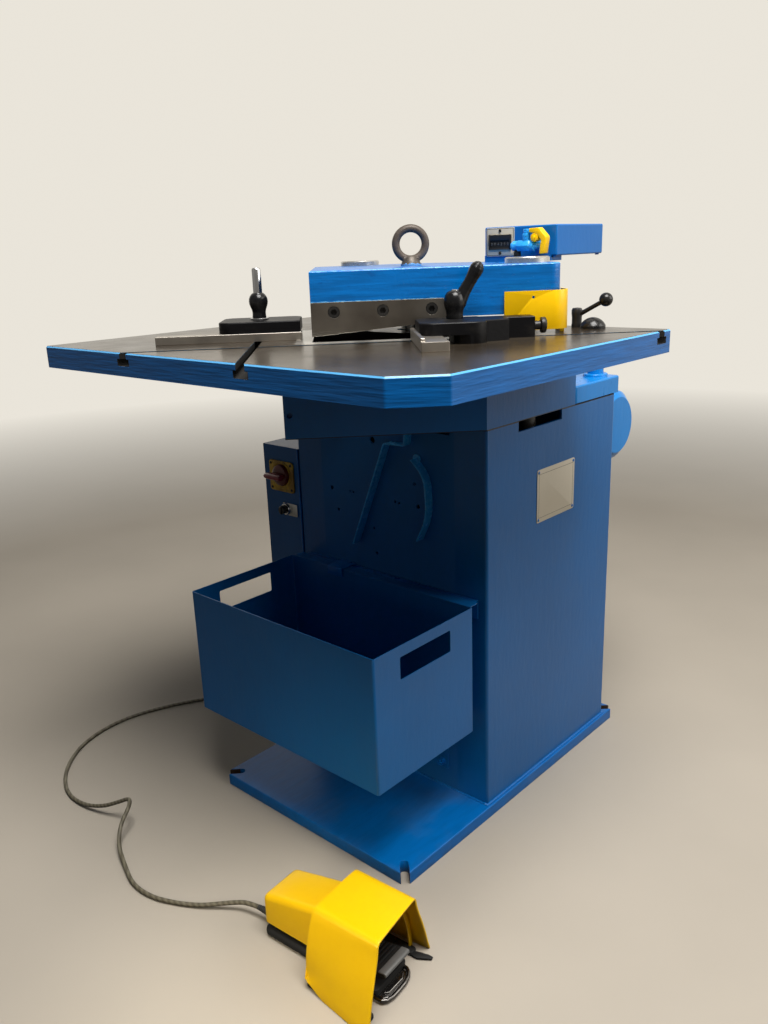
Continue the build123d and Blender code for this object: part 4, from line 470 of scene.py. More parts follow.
def creamPlate():
    plate = Finish("creamAluminium", (0.62, 0.55, 0.42), 0.42, 0.15)
    fade = plate.cloud(12, 4.0)
    tone = plate.blend(fade, (0.56, 0.5, 0.39), (0.66, 0.6, 0.48))
    return plate.dress(tone, 0.36 + fade * 0.14, plate.cloud(900, 2.0, (1, 1, 0.08)), 0.00004)


def cableFinish():
    # olive rubber sheath that shows the twist of its cores
    sheath = Finish("cableSheath", (0.13, 0.11, 0.07), 0.55)
    bands = {"wave_type": "BANDS", "bands_direction": "DIAGONAL"}
    twist = {"Vector": sheath.place, "Scale": 38.0, "Distortion": 1.5, "Detail": 1.0}
    wave = sheath.node("ShaderNodeTexWave", bands, twist, 1)
    grime = sheath.cloud(22, 4.0)
    tone = sheath.blend(wave, (0.085, 0.072, 0.045), (0.17, 0.15, 0.1))
    tone = sheath.blend(grime.fit(0.5, 0.75, 0.0, 0.5), tone, (0.2, 0.18, 0.14))
    return sheath.dress(tone, 0.45 + grime * 0.2, wave, 0.0004)


def collarFinish(paintedTop):
    # lighter scale on the lifting eye's collar, with blue run round its foot
    steel = Finish("eyeCollarSteel", (0.1, 0.085, 0.07), 0.45, 0.4, 0.4)
    scale = steel.cloud(70, 4.0)
    bare = steel.blend(scale.fit(0.3, 0.7), (0.06, 0.05, 0.042), (0.13, 0.11, 0.09))
    edge = steel.cloud(120, 3.0).fit(0.3, 0.7, -0.002, 0.002)
    painted = (steel.axis("Z") + edge).below(paintedTop)
    steel.put("Metallic", 0.4 - painted * 0.4)
    return steel.dress(steel.blend(painted, bare, (0.12, 0.32, 0.62)), 0.36 + scale * 0.16, scale, 0.0004)


def wornYellow():
    # switch plate, oily and rubbed at its corners
    plate = Finish("wornYellow", (0.7, 0.42, 0.02), 0.4)
    smear = plate.cloud(28, 6.0)
    oil = plate.cloud(60, 5.0, (1, 1, 0.4))
    tone = plate.blend(smear.fit(0.42, 0.62), (0.78, 0.48, 0.02), (0.36, 0.2, 0.025))
    tone = plate.blend(oil.fit(0.55, 0.72, 0.0, 0.7), tone, (0.07, 0.045, 0.02))
    return plate.dress(tone, 0.3 + smear * 0.25, smear, 0.0003)


cream = creamPlate()
eyeCollar = collarFinish(1.0738)
switchYellow = wornYellow()
footCable.data.materials.append(cableFinish().material)
print("finishes made")

# broken edges on the sheet metal and castings that stay as they are: width in mm and nodes
edgeWidths = {
    2.2: ["column", "left_stop_plate", "right_stop_plate"],
    2.0: ["ram", "tank_lid", "counter_case"],
    1.5: ["base_plate", "die_frame", "cabinet"],
    1.0: ["motor_cowl"],
    0.8: ["scrap_strap", "lower_cover", "side_guard"],
    0.6: ["cabinet_door", "scrap_band", "left_fence", "right_fence"],
    0.5: ["scrap_bin", "upper_blade_left", "upper_blade_right"],
}


def breakEdges(node, width):
    merge = node.modifiers.new("merge", "WELD")
    merge.merge_threshold = 0.00001
    flat = node.modifiers.new("flats", "DECIMATE")
    flat.decimate_type = "DISSOLVE"
    flat.angle_limit = math.radians(0.5)
    edges = node.modifiers.new("edges", "BEVEL")
    edges.width = width / 1000
    edges.segments = 2
    edges.limit_method = "ANGLE"
    edges.angle_limit = math.radians(40)
    edges.use_clamp_overlap = True


for edgeWidth, names in edgeWidths.items():
    for name in names:
        breakEdges(nodes[name], edgeWidth)
print("edges broken")


# shapes are made in mm where they stand, and brought to metres as they become pieces
rightward = (1, 0, 0)
forward = (0, -1, 0)


def moved(shape, matrix):
    bmesh.ops.transform(shape, matrix=matrix, verts=shape.verts)
    return shape


def whirled(shape, profile, steps, gap=0.001):
    # a profile turned once round the Z axis, closed where it meets itself
    turn = {"cent": (0, 0, 0), "axis": (0, 0, 1), "angle": 2 * math.pi, "use_merge": True}
    bmesh.ops.spin(shape, geom=profile, steps=steps, **turn)
    bmesh.ops.remove_doubles(shape, verts=shape.verts, dist=gap)
    bmesh.ops.recalc_face_normals(shape, faces=shape.faces)
    return shape


def spun(outline, steps=48, closed=False):
    shape = bmesh.new()
    ring = [shape.verts.new((radius, 0, height)) for radius, height in outline]
    links = list(zip(ring, ring[1:]))
    if closed:
        links.append((ring[-1], ring[0]))
    return whirled(shape, ring + [shape.edges.new(link) for link in links], steps)


def slab(outline, low, high):
    shape = bmesh.new()
    face = shape.faces.new([shape.verts.new((x, y, low)) for x, y in outline])
    risen = bmesh.ops.extrude_face_region(shape, geom=[face])
    lifted = [item for item in risen["geom"] if isinstance(item, bmesh.types.BMVert)]
    bmesh.ops.translate(shape, vec=(0, 0, high - low), verts=lifted)
    bmesh.ops.recalc_face_normals(shape, faces=shape.faces)
    return shape


def alongX(outline, low, high):
    # an outline of (y, z) pulled from x = low to x = high
    return moved(slab(outline, low, high), Matrix(((0, 0, 1, 0), (1, 0, 0, 0), (0, 1, 0, 0), (0, 0, 0, 1))))


def alongY(outline, low, high):
    # an outline of (x, z) pulled from y = low to y = high
    return moved(slab([(x, -z) for x, z in outline], low, high), turnBy(-90, "X"))


def block(low, high):
    shape = bmesh.new()
    bmesh.ops.create_cube(shape, size=1)
    bmesh.ops.scale(shape, vec=Vector(high) - Vector(low), verts=shape.verts)
    bmesh.ops.translate(shape, vec=(Vector(high) + Vector(low)) / 2, verts=shape.verts)
    return shape


def rod(stations, sides=16):
    # a bar along stations of (spot, radius) that twists no more than its line asks
    spots = [Vector(spot) for spot, _ in stations]
    shape = bmesh.new()
    heading = (spots[1] - spots[0]).normalized()
    turn = Vector((0, 0, 1)).rotation_difference(heading)
    held = Matrix.Translation(spots[0]) @ turn.to_matrix().to_4x4() @ Matrix.Scale(stations[0][1], 4)
    bmesh.ops.create_circle(shape, cap_ends=True, segments=sides, radius=1, matrix=held)
    cap = shape.faces[:]
    for index in range(1, len(spots)):
        onward = (spots[min(index + 1, len(spots) - 1)] - spots[index - 1]).normalized()
        turn = heading.rotation_difference(onward) @ turn
        heading = onward
        there = Matrix.Translation(spots[index]) @ turn.to_matrix().to_4x4() @ Matrix.Scale(stations[index][1], 4)
        grown = bmesh.ops.extrude_face_region(shape, geom=cap)["geom"]
        cap = [item for item in grown if isinstance(item, bmesh.types.BMFace)]
        ring = [item for item in grown if isinstance(item, bmesh.types.BMVert)]
        bmesh.ops.transform(shape, matrix=there @ held.inverted(), verts=ring)
        held = there
    bmesh.ops.recalc_face_normals(shape, faces=shape.faces)
    return shape


def ball(radius):
    shape = bmesh.new()
    bmesh.ops.create_uvsphere(shape, u_segments=32, v_segments=20, radius=radius)
    return shape


def bevelled(shape, edges, width, segments):
    settings = {"offset_type": "OFFSET", "profile": 0.5, "affect": "EDGES", "material": -1, "clamp_overlap": True}
    bmesh.ops.bevel(shape, geom=edges, offset=width, segments=segments, **settings)
    return shape


def eased(shape, width, segments=2, sharp=30):
    least = math.radians(sharp)
    edges = [edge for edge in shape.edges if len(edge.link_faces) == 2 and edge.calc_face_angle() > least]
    return bevelled(shape, edges, width, segments)


def disc(radius, low, high, sides, edge, segments=2):
    # a round or many-sided disc with broken edges
    return eased(spun([(0, low), (radius, low), (radius, high), (0, high)], sides), edge, segments)


def aimed(shape, spot, toward=(0, 0, 1), roll=0.0):
    turn = Vector((0, 0, 1)).rotation_difference(Vector(toward).normalized()).to_matrix().to_4x4()
    return moved(shape, Matrix.Translation(spot) @ turn @ turnBy(roll, "Z"))


def joined(*shapes):
    whole = bmesh.new()
    for shape in shapes:
        part = bpy.data.meshes.new("part")
        shape.to_mesh(part)
        shape.free()
        whole.from_mesh(part)
        bpy.data.meshes.remove(part)
    return whole


def makePiece(name, shape, body, finish, stands=(), smooth=35):
    bmesh.ops.scale(shape, vec=(0.001, 0.001, 0.001), verts=shape.verts)
    mesh = bpy.data.meshes.new(name)
    shape.to_mesh(mesh)
    shape.free()
    mesh.shade_smooth()
    mesh.set_sharp_from_angle(angle=math.radians(smooth))
    mesh.materials.append(finish.material)
    piece = placed(name, mesh)
    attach(piece, body)
    if stands:
        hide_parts(*stands)


def alongRight(u, v, z):
    # u runs along the right blade from the nose, v outwards from it
    return ((u + v) * math.sqrt(0.5), (u - v) * math.sqrt(0.5) - nose, z)


# forged lifting eye on the ram
eyeLook = {
    "spot": (0, 100),
    "ring": 28.5,
    "section": 7.5,
    "middle": 1110,
    "turn": -45,
    "neck": [(0, 1073), (19, 1073), (17.6, 1077), (15.5, 1081), (13.4, 1084), (11, 1087), (7, 1089), (0, 1089)],
}


def makeEyebolt(look):
    ring = bmesh.new()
    stand = Matrix.Translation((look["ring"], 0, 0)) @ turnBy(90, "X")
    made = bmesh.ops.create_circle(ring, segments=20, radius=look["section"], matrix=stand)
    whirled(ring, made["verts"] + ring.edges[:], 72, 0.01)
    turn = math.radians(look["turn"])
    aimed(ring, (*look["spot"], look["middle"]), (math.cos(turn), math.sin(turn), 0))
    shoulder = aimed(eased(block((-16.5, -8, 1074), (16.5, 8, 1086.5)), 3.0, 3), (0, 0, 0), roll=look["turn"] + 90)
    foot = joined(spun(look["neck"]), disc(20, 1069, 1074.5, 48, 1.2), shoulder)
    makePiece("liftingEye", ring, "ram", forgedBrown, ["eyebolt"])
    makePiece("liftingEyeCollar", aimed(foot, (*look["spot"], 0)), "ram", eyeCollar)


makeEyebolt(eyeLook)

# piece counter on the ram: cream face, black window frame, number drums, screws and feet
counterLook = {
    # boxes on the front are left, right, low, high
    "face": (63, 129, 1080.5, 1134.5),
    "front": 260.5,
    "window": (69, 123, 1093, 1121),
    "opening": (73, 119, 1096, 1111),
    "digits": "004250",
    "digitSize": 7.5,
    "screws": [(96, 1128.5), (96, 1086)],
    "feet": [(66, 268), (216, 268), (66, 430), (216, 430)],
}


def within(box, gap):
    left, right, low, high = box
    return (left + gap, right - gap, low + gap, high - gap)


def rounded(box, corner):
    left, right, low, high = within(box, corner)
    points = []
    for x, z, start in ((right, high, 0), (left, high, 90), (left, low, 180), (right, low, 270)):
        for step in range(5):
            turn = math.radians(start + step * 22.5)
            points.append((x + corner * math.cos(turn), z + corner * math.sin(turn)))
    return points


def frontFrame(outer, inner, near, far):
    left, right, low, high = outer
    inLeft, inRight, inLow, inHigh = inner
    bars = [
        block((left, near, low), (inLeft, far, high)),
        block((inRight, near, low), (right, far, high)),
        block((inLeft, near, low), (inRight, far, inLow)),
        block((inLeft, near, inHigh), (inRight, far, high)),
    ]
    whole = joined(*bars)
    bmesh.ops.remove_doubles(whole, verts=whole.verts, dist=0.001)
    return eased(whole, 0.5)


def screwHead(radius, height, socket=0.45):
    # round head with a blind socket; its seat is at z = 0
    inner = radius * socket
    outline = [(0, 0), (radius, 0), (radius, height * 0.8), (radius * 0.86, height), (inner, height)]
    return spun(outline + [(inner, height * 0.35), (0, height * 0.35)], 24)


def figure(digit, size, spot):
    # one digit as a thin shape that faces the front
    text = bpy.data.curves.new("figure", "FONT")
    text.body = digit
    text.size = size
    text.align_x = "CENTER"
    text.align_y = "CENTER"
    text.extrude = 0.05
    letter = placed("figure", text)
    bpy.context.view_layer.update()
    mesh = bpy.data.meshes.new_from_object(letter)
    shape = bmesh.new()
    shape.from_mesh(mesh)
    bpy.data.objects.remove(letter)
    bpy.data.meshes.remove(mesh)
    return moved(shape, Matrix.Translation(spot) @ turnBy(90, "X"))


def makeCounter(look):
    front = look["front"]
    plate = eased(alongY(rounded(look["face"], 2.5), front, front + 2), 0.4)
    makePiece("counterPlate", plate, "ram", cream, ["counter_face"])
    edge = frontFrame(within(look["face"], 1.5), within(look["face"], 2.3), front - 0.15, front + 0.3)
    makePiece("counterPlateLine", edge, "ram", blackPlastic)
    window = frontFrame(look["window"], look["opening"], front - 2.3, front + 0.2)
    makePiece("counterBezel", window, "ram", blackPlastic, ["counter_window"])
    left, right, low, high = look["opening"]
    height = (low + high) / 2
    pitch = (right - left) / len(look["digits"])
    half = pitch * 0.46
    outline = [(0, -half), (9.6, -half), (10, -pitch * 0.4), (10, pitch * 0.4), (9.6, half), (0, half)]
    drums = [block((left - 1, front - 0.3, low - 1), (right + 1, front + 1, high + 1))]
    figures = []
    for index, digit in enumerate(look["digits"]):
        middle = left + pitch * (index + 0.5)
        drums.append(aimed(spun(outline, 48), (middle, front + 9.2, height), rightward))
        figures.append(figure(digit, look["digitSize"], (middle, front - 0.9, height)))
    makePiece("counterDrums", joined(*drums), "ram", castBlack)
    makePiece("counterFigures", joined(*figures), "ram", digitGrey)
    heads = [aimed(screwHead(3, 1.6), (x, front, z), forward) for x, z in look["screws"]]
    feet = [aimed(screwHead(4, 3), (x, y, 1079.5), (0, 0, -1)) for x, y in look["feet"]]
    makePiece("counterScrews", joined(*heads), "ram", screwBlack)
    makePiece("counterFeet", joined(*feet), "ram", blueEnamel)


makeCounter(counterLook)
print("lifting eye and counter made")

# ball valve in front of the counter, with its yellow lever
valveLook = {
    "pipe": (152, 238),
    "stem": (172, 238),
    "height": 1099,
    "tee": 11.5,
    "pivot": (193.5, 1113.5),
    "lever": [
        (182, 1130), (203, 1131), (218.5, 1115), (219, 1111), (215, 1084), (204.5, 1083), (208.5, 1108.5),
        (206.5, 1111), (198, 1120.5), (182, 1122.5),
    ],
}


def ribbed(radius, low, high, pitch=2.4):
    # a threaded neck as a stack of rounded ridges
    root = radius - 0.9
    outline = [(0, low)]
    z = low
    while z + pitch <= high:
        outline += [(root, z), (radius, z + pitch * 0.35), (radius, z + pitch * 0.65), (root, z + pitch)]
        z += pitch
    return spun(outline + [(root, high), (0, high)], 32)


def makeValve(look):
    pipe = (*look["pipe"], 0)
    stemX, y = look["stem"]
    stem = (stemX, y, 0)
    z = look["height"]
    middle = (168, y, z)
    tee = look["tee"]
    standpipe = aimed(spun([(0, 1070), (5.5, 1070), (5.5, z), (0, z)], 24), pipe)
    nut = aimed(disc(9, 1071, 1078.5, 6, 0.8), pipe)
    whole = joined(standpipe, nut, aimed(ribbed(7.2, 1079, 1091), pipe))
    makePiece("valveStandpipe", whole, "ram", castBlack)
    outline = [(0, -16), (tee - 2.5, -16), (tee, -12), (tee, 12), (tee - 2.5, 16), (0, 16)]
    body = aimed(eased(spun(outline, 6), 1.0), middle, rightward, 30)
    ends = [aimed(ribbed(9.3, -25, -15, 2.5), middle, rightward), aimed(ribbed(9.3, 15, 22, 2.3), middle, rightward)]
    cap = aimed(disc(8, -4, 0, 6, 0.7), (144, y, z), rightward)
    elbow = rod([((x, far, z), 6) for x, far in ((186, y), (190, 240), (191, 245), (191, 252), (191, 263))], 20)
    flange = aimed(disc(10, 0, 3, 24, 0.6), (191, 262.3, z), forward)
    bonnet = aimed(ribbed(7.5, z + 8, z + 17, 2.2), stem)
    gland = aimed(disc(8.4, z + 16, z + 22, 6, 0.7), stem)
    whole = joined(body, *ends, cap, elbow, flange, bonnet, gland)
    makePiece("ballValve", whole, "ram", valveBlueAndStrapHighlight, ["valve_body"], 30)
    strip = eased(alongY(look["lever"], 230, 246), 1.3, 3)
    x, height = look["pivot"]
    hub = aimed(disc(8, 0, 15, 36, 1.4, 3), (x, 245, height), forward)
    pin = aimed(disc(4.4, 0, 19, 6, 0.6), (x, 246, height), forward)
    lever = joined(strip, hub, pin)
    makePiece("valveLever", lever, "valve_lever", yellowEnamel, ["valve_handle"])
    spindle = aimed(ribbed(6.4, 1120.5, 1129.5, 2.2), stem)
    tongue = eased(block((stemX, y - 5, 1121.5), (stemX + 14, y + 5, 1126.5)), 1.0)
    makePiece("valveSpindle", joined(spindle, tongue), "valve_lever", valveBlueAndStrapHighlight)


makeValve(valveLook)
print("valve made")

# left clamping lever: chrome washer, black waisted ball hub, bright pin
leftClampLook = {
    "spot": (-151.3, -160.7, 0),
    "washer": [(9, 985), (17.2, 985), (17.2, 987.2), (16.4, 988), (9, 988)],
    "hub": [
        (0, 988), (12.4, 988), (12.9, 990), (12.5, 994), (12.4, 998), (13.2, 1003), (15.2, 1008), (17, 1013),
        (17.5, 1018), (16.9, 1023), (15, 1027.5), (12.2, 1031), (9.6, 1033), (0, 1033.4),
    ],
    "pin": [(0, 1031), (8.4, 1031), (8.4, 1074.5), (7.6, 1077), (5.4, 1078), (0, 1078)],
}


def makeLeftClamp(look):
    hub = aimed(spun(look["hub"], 56), look["spot"])
    makePiece("leftClampHub", hub, "left_clamp", glossBlack, ["left_lever"], 50)
    washer = aimed(spun(look["washer"], 48, True), look["spot"])
    makePiece("leftClampWasher", washer, "left_clamp", chrome)
    pin = aimed(spun(look["pin"], 40), look["spot"])
    makePiece("leftClampPin", pin, "left_clamp", chrome, (), 50)


makeLeftClamp(leftClampLook)

# right clamping lever: hub with a button screw, tapered arm that swells to its end
rightClampLook = {
    "u": 245,
    "v": 45,
    "hub": [
        (0, 985), (14, 985), (14.6, 987), (14.2, 992), (15, 998), (17, 1004), (18.2, 1011), (17.8, 1018),
        (16, 1024), (12.8, 1028.5), (8.6, 1031), (0, 1031.4),
    ],
    "button": [(0, 1030), (6.4, 1030), (6.4, 1032.6), (0, 1034)],
    "arm": [
        (247, 1004, 13.5), (252, 1012, 13.6), (257, 1021, 12), (263.5, 1032, 10.6), (270.5, 1043.5, 10),
        (276, 1053, 10.6), (280, 1060, 11.8), (283.4, 1066, 12), (286, 1070.6, 10.4), (288, 1074, 7.2),
        (289, 1075.8, 3.6), (289.4, 1076.4, 1),
    ],
}


def makeRightClamp(look):
    spot = alongRight(look["u"], look["v"], 0)
    hub = aimed(spun(look["hub"], 56), spot)
    arm = rod([(alongRight(u, look["v"], z), radius) for u, z, radius in look["arm"]], 28)
    makePiece("rightClampLever", joined(hub, arm), "right_clamp", glossBlack, ["right_lever"], 50)
    button = aimed(eased(spun(look["button"], 32), 0.6), spot)
    makePiece("rightClampButton", button, "right_clamp", chrome)


makeRightClamp(rightClampLook)

# rear clamping lever and the fine screw
rearClampLook = {
    "spot": (286, 236, 0),
    "hub": [(0, 950), (9.5, 950), (10, 952), (9.2, 958), (9.2, 968), (10, 974), (10, 981), (8, 985), (0, 986)],
    "arm": [
        ((288, 236, 972), 4.6), ((296, 235.9, 976), 4.2), ((308, 235.6, 982), 4.0), ((322, 235.4, 989.3), 3.9),
        ((336, 235.1, 996.4), 4.1), ((343, 235, 1000), 5),
    ],
    "knob": (345, 235, 1001),
    "knobRadius": 12.4,
}
fineScrewLook = {
    "u": 367,
    "v": 40,
    "z": 968,
    "outline": [
        (0, 0), (4, 0), (4, 13.5), (4.6, 14), (7, 14.6), (7.4, 17), (7.4, 25.5), (10.5, 26.6), (13, 27.2),
        (13.5, 28.4), (13.5, 33.6), (12.9, 35), (11, 35.9), (6, 36), (5, 34.9), (0, 34.9),
    ],
}


def makeRearClamp(look):
    hub = aimed(spun(look["hub"], 40), look["spot"])
    lever = joined(hub, rod(look["arm"], 18))
    makePiece("rearClampHub", lever, "rear_clamp", screwBlack, ["rear_lever"], 50)
    knob = aimed(ball(look["knobRadius"]), look["knob"], (0.9, 0, 0.45))
    makePiece("rearClampBall", knob, "rear_clamp", glossBlack, (), 180)


def makeFineScrew(look):
    along = Vector(alongRight(1, 0, 0)) - Vector(alongRight(0, 0, 0))
    screw = aimed(spun(look["outline"], 56), alongRight(look["u"], look["v"], look["z"]), along)
    makePiece("fineScrewHead", screw, "fine_screw", screwBlack, ["adjust_screw"])


makeRearClamp(rearClampLook)
makeFineScrew(fineScrewLook)
print("levers made")

# main switch and key switch on the cabinet front
switchLook = {
    "plate": (-344, -266, 592, 662),
    "rim": [(24.5, 0), (31, 0), (30, 1.8), (25.5, 1.8)],
    "disc": [(0, 0), (24, 0), (24, 4.5), (22.5, 8), (18, 10.5), (0, 11)],
    "middle": (-303, 631),
    "grip": [(-332.5, 2.5), (-330.5, 5.2), (-326, 6.6), (-312, 7.2), (-292, 7), (-281.5, 6), (-279.3, 2.5)],
    "gripReach": -25,
    "key": (-297, 553),
    "keyRing": [(8.2, 0), (14, 0), (14, 2), (12.6, 5), (9.6, 5.6), (8.2, 5)],
    "keyKnob": [(0, 0), (8, 0), (8, 8), (9.5, 9.5), (9.5, 15.6), (8.6, 16.6), (0, 16.6)],
}


def makeSwitches(look):
    x, z = look["middle"]
    plate = eased(alongY(rounded(look["plate"], 7), -4, 0.2), 1.0)
    rim = aimed(spun(look["rim"], 56, True), (x, -3.8, z), forward)
    makePiece("mainSwitchPlate", joined(plate, rim), "machine", switchYellow, ["switch_plate"])
    left, right, low, high = within(look["plate"], 7)
    corners = [(left, low), (left, high), (right, low), (right, high)]
    screws = [aimed(screwHead(3, 1.4), (across, -3.8, up), forward) for across, up in corners]
    makePiece("mainSwitchScrews", joined(*screws), "machine", screwBlack)
    turned = aimed(spun(look["disc"], 56), (x, -4, z), forward)
    makePiece("mainSwitchDisc", turned, "main_switch", darkRed, ["switch_knob"])
    reach = look["gripReach"]
    grip = rod([((across, reach, z), radius) for across, radius in look["grip"]], 24)
    bmesh.ops.scale(grip, vec=(1, 1.75, 1), space=Matrix.Translation((0, -reach, 0)), verts=grip.verts)
    makePiece("mainSwitchGrip", grip, "main_switch", redGrip, (), 50)
    x, z = look["key"]
    label = eased(alongY(rounded((x - 10, x + 36, z - 14, z + 14), 2), -2.7, -1.9), 0.2)
    makePiece("keySwitchPlate", label, "machine", plateSilver)
    ring = aimed(spun(look["keyRing"], 48, True), (x, -2.4, z), forward)
    makePiece("keySwitchRing", ring, "machine", chrome)
    knob = aimed(spun(look["keyKnob"], 40), (x, -2.4, z), forward)
    pointer = eased(block((x - 2.2, -21.5, z - 8.5), (x + 2.2, -18.5, z + 8.5)), 0.8)
    makePiece("keySwitchKnob", joined(knob, pointer), "key_switch", blackPlastic, ["key_knob"])


makeSwitches(switchLook)
print("switches made")

# bare plate on the column's side: rounded corners, engraved border, painted rivets; box in y and z
plateLook = {"box": (165, 304, 576, 683), "side": 250, "border": 6, "rivet": 3.2, "inset": 5.5}


def sideFrame(box, width, near, far):
    # a frame of four thin bars on the side x = near
    y0, y1, z0, z1 = box
    return joined(
        block((near, y0, z0), (far, y0 + width, z1)),
        block((near, y1 - width, z0), (far, y1, z1)),
        block((near, y0, z0), (far, y1, z0 + width)),
        block((near, y0, z1 - width), (far, y1, z1)),
    )


def makeNamePlate(look):
    side = look["side"]
    plate = eased(alongX(rounded(look["box"], 4), side - 0.2, side + 1.2), 0.3)
    makePiece("sidePlate", plate, "machine", cream, ["name_plate"])
    y0, y1, z0, z1 = within(look["box"], look["border"])
    line = sideFrame((y0, y1, z0 + 3, z1 - 3), 0.9, side + 1.1, side + 1.28)
    makePiece("sidePlateLine", line, "machine", plateLine)
    radius = look["rivet"]
    outline = [(0, 0), (radius, 0), (radius * 0.92, 0.7), (radius * 0.6, 1.3), (0, 1.5)]
    y0, y1, z0, z1 = within(look["box"], look["inset"])
    rivets = [aimed(spun(outline, 24), (side + 1.1, y, z), rightward) for y in (y0, y1) for z in (z0, z1)]
    makePiece("sidePlateRivets", joined(*rivets), "machine", blueEnamel, (), 60)


makeNamePlate(plateLook)
print("side plate made")

# foot switch: details laid in its own frame, x forwards from its rear end
footLook = {
    "spot": (148, -458),
    "turn": 5.0,
    "hoodStations": [126, 132, 140, 152, 165, 190, 220, 244, 250],
    "hoodHeight": 133,
    "hoodWall": 3.2,
    "floorGap": 1.4,
    "cutHeight": 17,
    "cutLength": 40,
    # half widths and heights of the hood's outside at its two ends
    "rearArch": [
        (84, 0), (80.5, 18), (79.5, 36), (77.5, 57), (73.5, 77), (68.5, 95), (62.5, 112), (58, 122.5), (54.5, 127.5),
        (49.5, 130), (42, 130.6), (20, 131),
    ],
    "frontArch": [
        (99, 0), (94.5, 14), (87.5, 38), (78, 66), (68, 91), (61.5, 108), (58.5, 119), (57, 125.5), (54.5, 129.3),
        (50, 131.6), (42, 132.2), (20, 132.5),
    ],
    "rake": 6,
    "skew": 0.09,
    "lean": 0.05,
    "ribArch": [
        (79, 4), (78, 18), (75, 40), (70, 62), (62, 86), (55, 108), (51, 119), (47, 124), (40, 126), (20, 126.5),
    ],
    "archRib": 214,
    "housing": [(-3, 31), (-3, 83), (60, 97.5), (128, 113), (128, 31)],
    "ear": [(226, 60), (238, 60), (259, 72), (259, 77), (250, 77), (226, 71)],
    "latch": [
        (222, 31), (232, 32.5), (239, 32), (246, 27), (250.5, 19), (253, 7), (253.6, -9), (253.2, -25), (250, -36),
        (244.5, -41), (236, -41.5), (224, -39.5),
    ],
    "flap": [(224, -34), (243, -36), (249, -27), (248.5, 16), (241, 28), (224, 28)],
    "ridge": [(239, -27, 1.7), (243.5, -23, 2), (244.5, 11, 2), (239, 21, 1.7)],
}
treadleLook = {
    "side": [
        (141.5, 22), (150, 20.5), (236, 35.5), (243, 38), (244, 44), (240, 47.5), (229, 46), (150, 31.5), (142.5, 29),
    ],
    "half": 31,
    "ribs": 9,
    "pitch": 7.5,
    "slope": 0.178,
    "frontBar": [
        (231, 44.5), (243, 46.5), (246.2, 45), (246.8, 41), (245, 39.2), (242.6, 40.6), (241.8, 43), (231, 41.6),
    ],
    "frontRise": 2.4,
}
footFrame = Matrix.Translation((*footLook["spot"], 0)) @ turnBy(footLook["turn"], "Z")


def makeFootPiece(name, shape, body, finish, stands=(), smooth=35):
    makePiece(name, moved(shape, footFrame), body, finish, stands, smooth)


def hoodArch(look, x):
    # the hood's outside at x, from the foot up one side and down the other
    rear, front = look["hoodStations"][0], look["hoodStations"][-1]
    share = (x - rear) / (front - rear)
    cut = max(0.0, look["cutHeight"] * (1 - (x - rear) / look["cutLength"]))
    side = []
    for (rearY, rearZ), (frontY, frontZ) in zip(look["rearArch"], look["frontArch"]):
        height = max(look["floorGap"], cut, rearZ + (frontZ - rearZ) * share)
        side.append((rearY + (frontY - rearY) * share, height))
    near = [(-y * (1 + look["lean"] * share), z, look["rake"] * (1 - z / look["hoodHeight"])) for y, z in side]
    far = [(y * (1 - look["lean"] * share), z, 0) for y, z in side]
    return [(x + share * share * (rake - y * look["skew"]), y, z) for y, z, rake in near + far[::-1]]


def makeHood(look):
    stations = look["hoodStations"]
    count = 2 * len(look["rearArch"])
    hood = bmesh.new()
    bmesh.ops.create_grid(hood, x_segments=len(stations) - 1, y_segments=count - 1, size=1)
    columns = sorted({round(vertex.co.x, 4) for vertex in hood.verts})
    rows = sorted({round(vertex.co.y, 4) for vertex in hood.verts})
    for vertex in hood.verts:
        x = stations[columns.index(round(vertex.co.x, 4))]
        vertex.co = hoodArch(look, x)[rows.index(round(vertex.co.y, 4))]
    rear = [vertex for vertex in hood.verts if vertex.co.x < stations[0] + 0.01]
    rear.sort(key=lambda vertex: math.atan2(vertex.co.z - 60, vertex.co.y))
    hood.faces.new(rear)
    bmesh.ops.recalc_face_normals(hood, faces=hood.faces)
    top = max(hood.faces, key=lambda face: face.calc_center_median().z)
    if top.normal.z < 0:
        bmesh.ops.reverse_faces(hood, faces=hood.faces)
    bmesh.ops.solidify(hood, geom=hood.faces, thickness=look["hoodWall"])
    makeFootPiece("footHood", eased(hood, 0.9, 2, 50), "machine", yellowEnamel, ["foot_hood"], 50)


def makeHousing(look):
    # the edges at the rear and along the top are well rounded, not those under the hood
    housing = alongY(look["housing"], -42, 42)
    turned = []
    for edge in housing.edges:
        ends = sorted(vertex.co.x for vertex in edge.verts)
        if ends[0] < 127 and max(vertex.co.z for vertex in edge.verts) > 80 and ends[1] - ends[0] < 70:
            turned.append(edge)
    bevelled(housing, turned, 11, 5)
    makeFootPiece("footHousing", housing, "machine", yellowEnamel, ["foot_body"], 50)


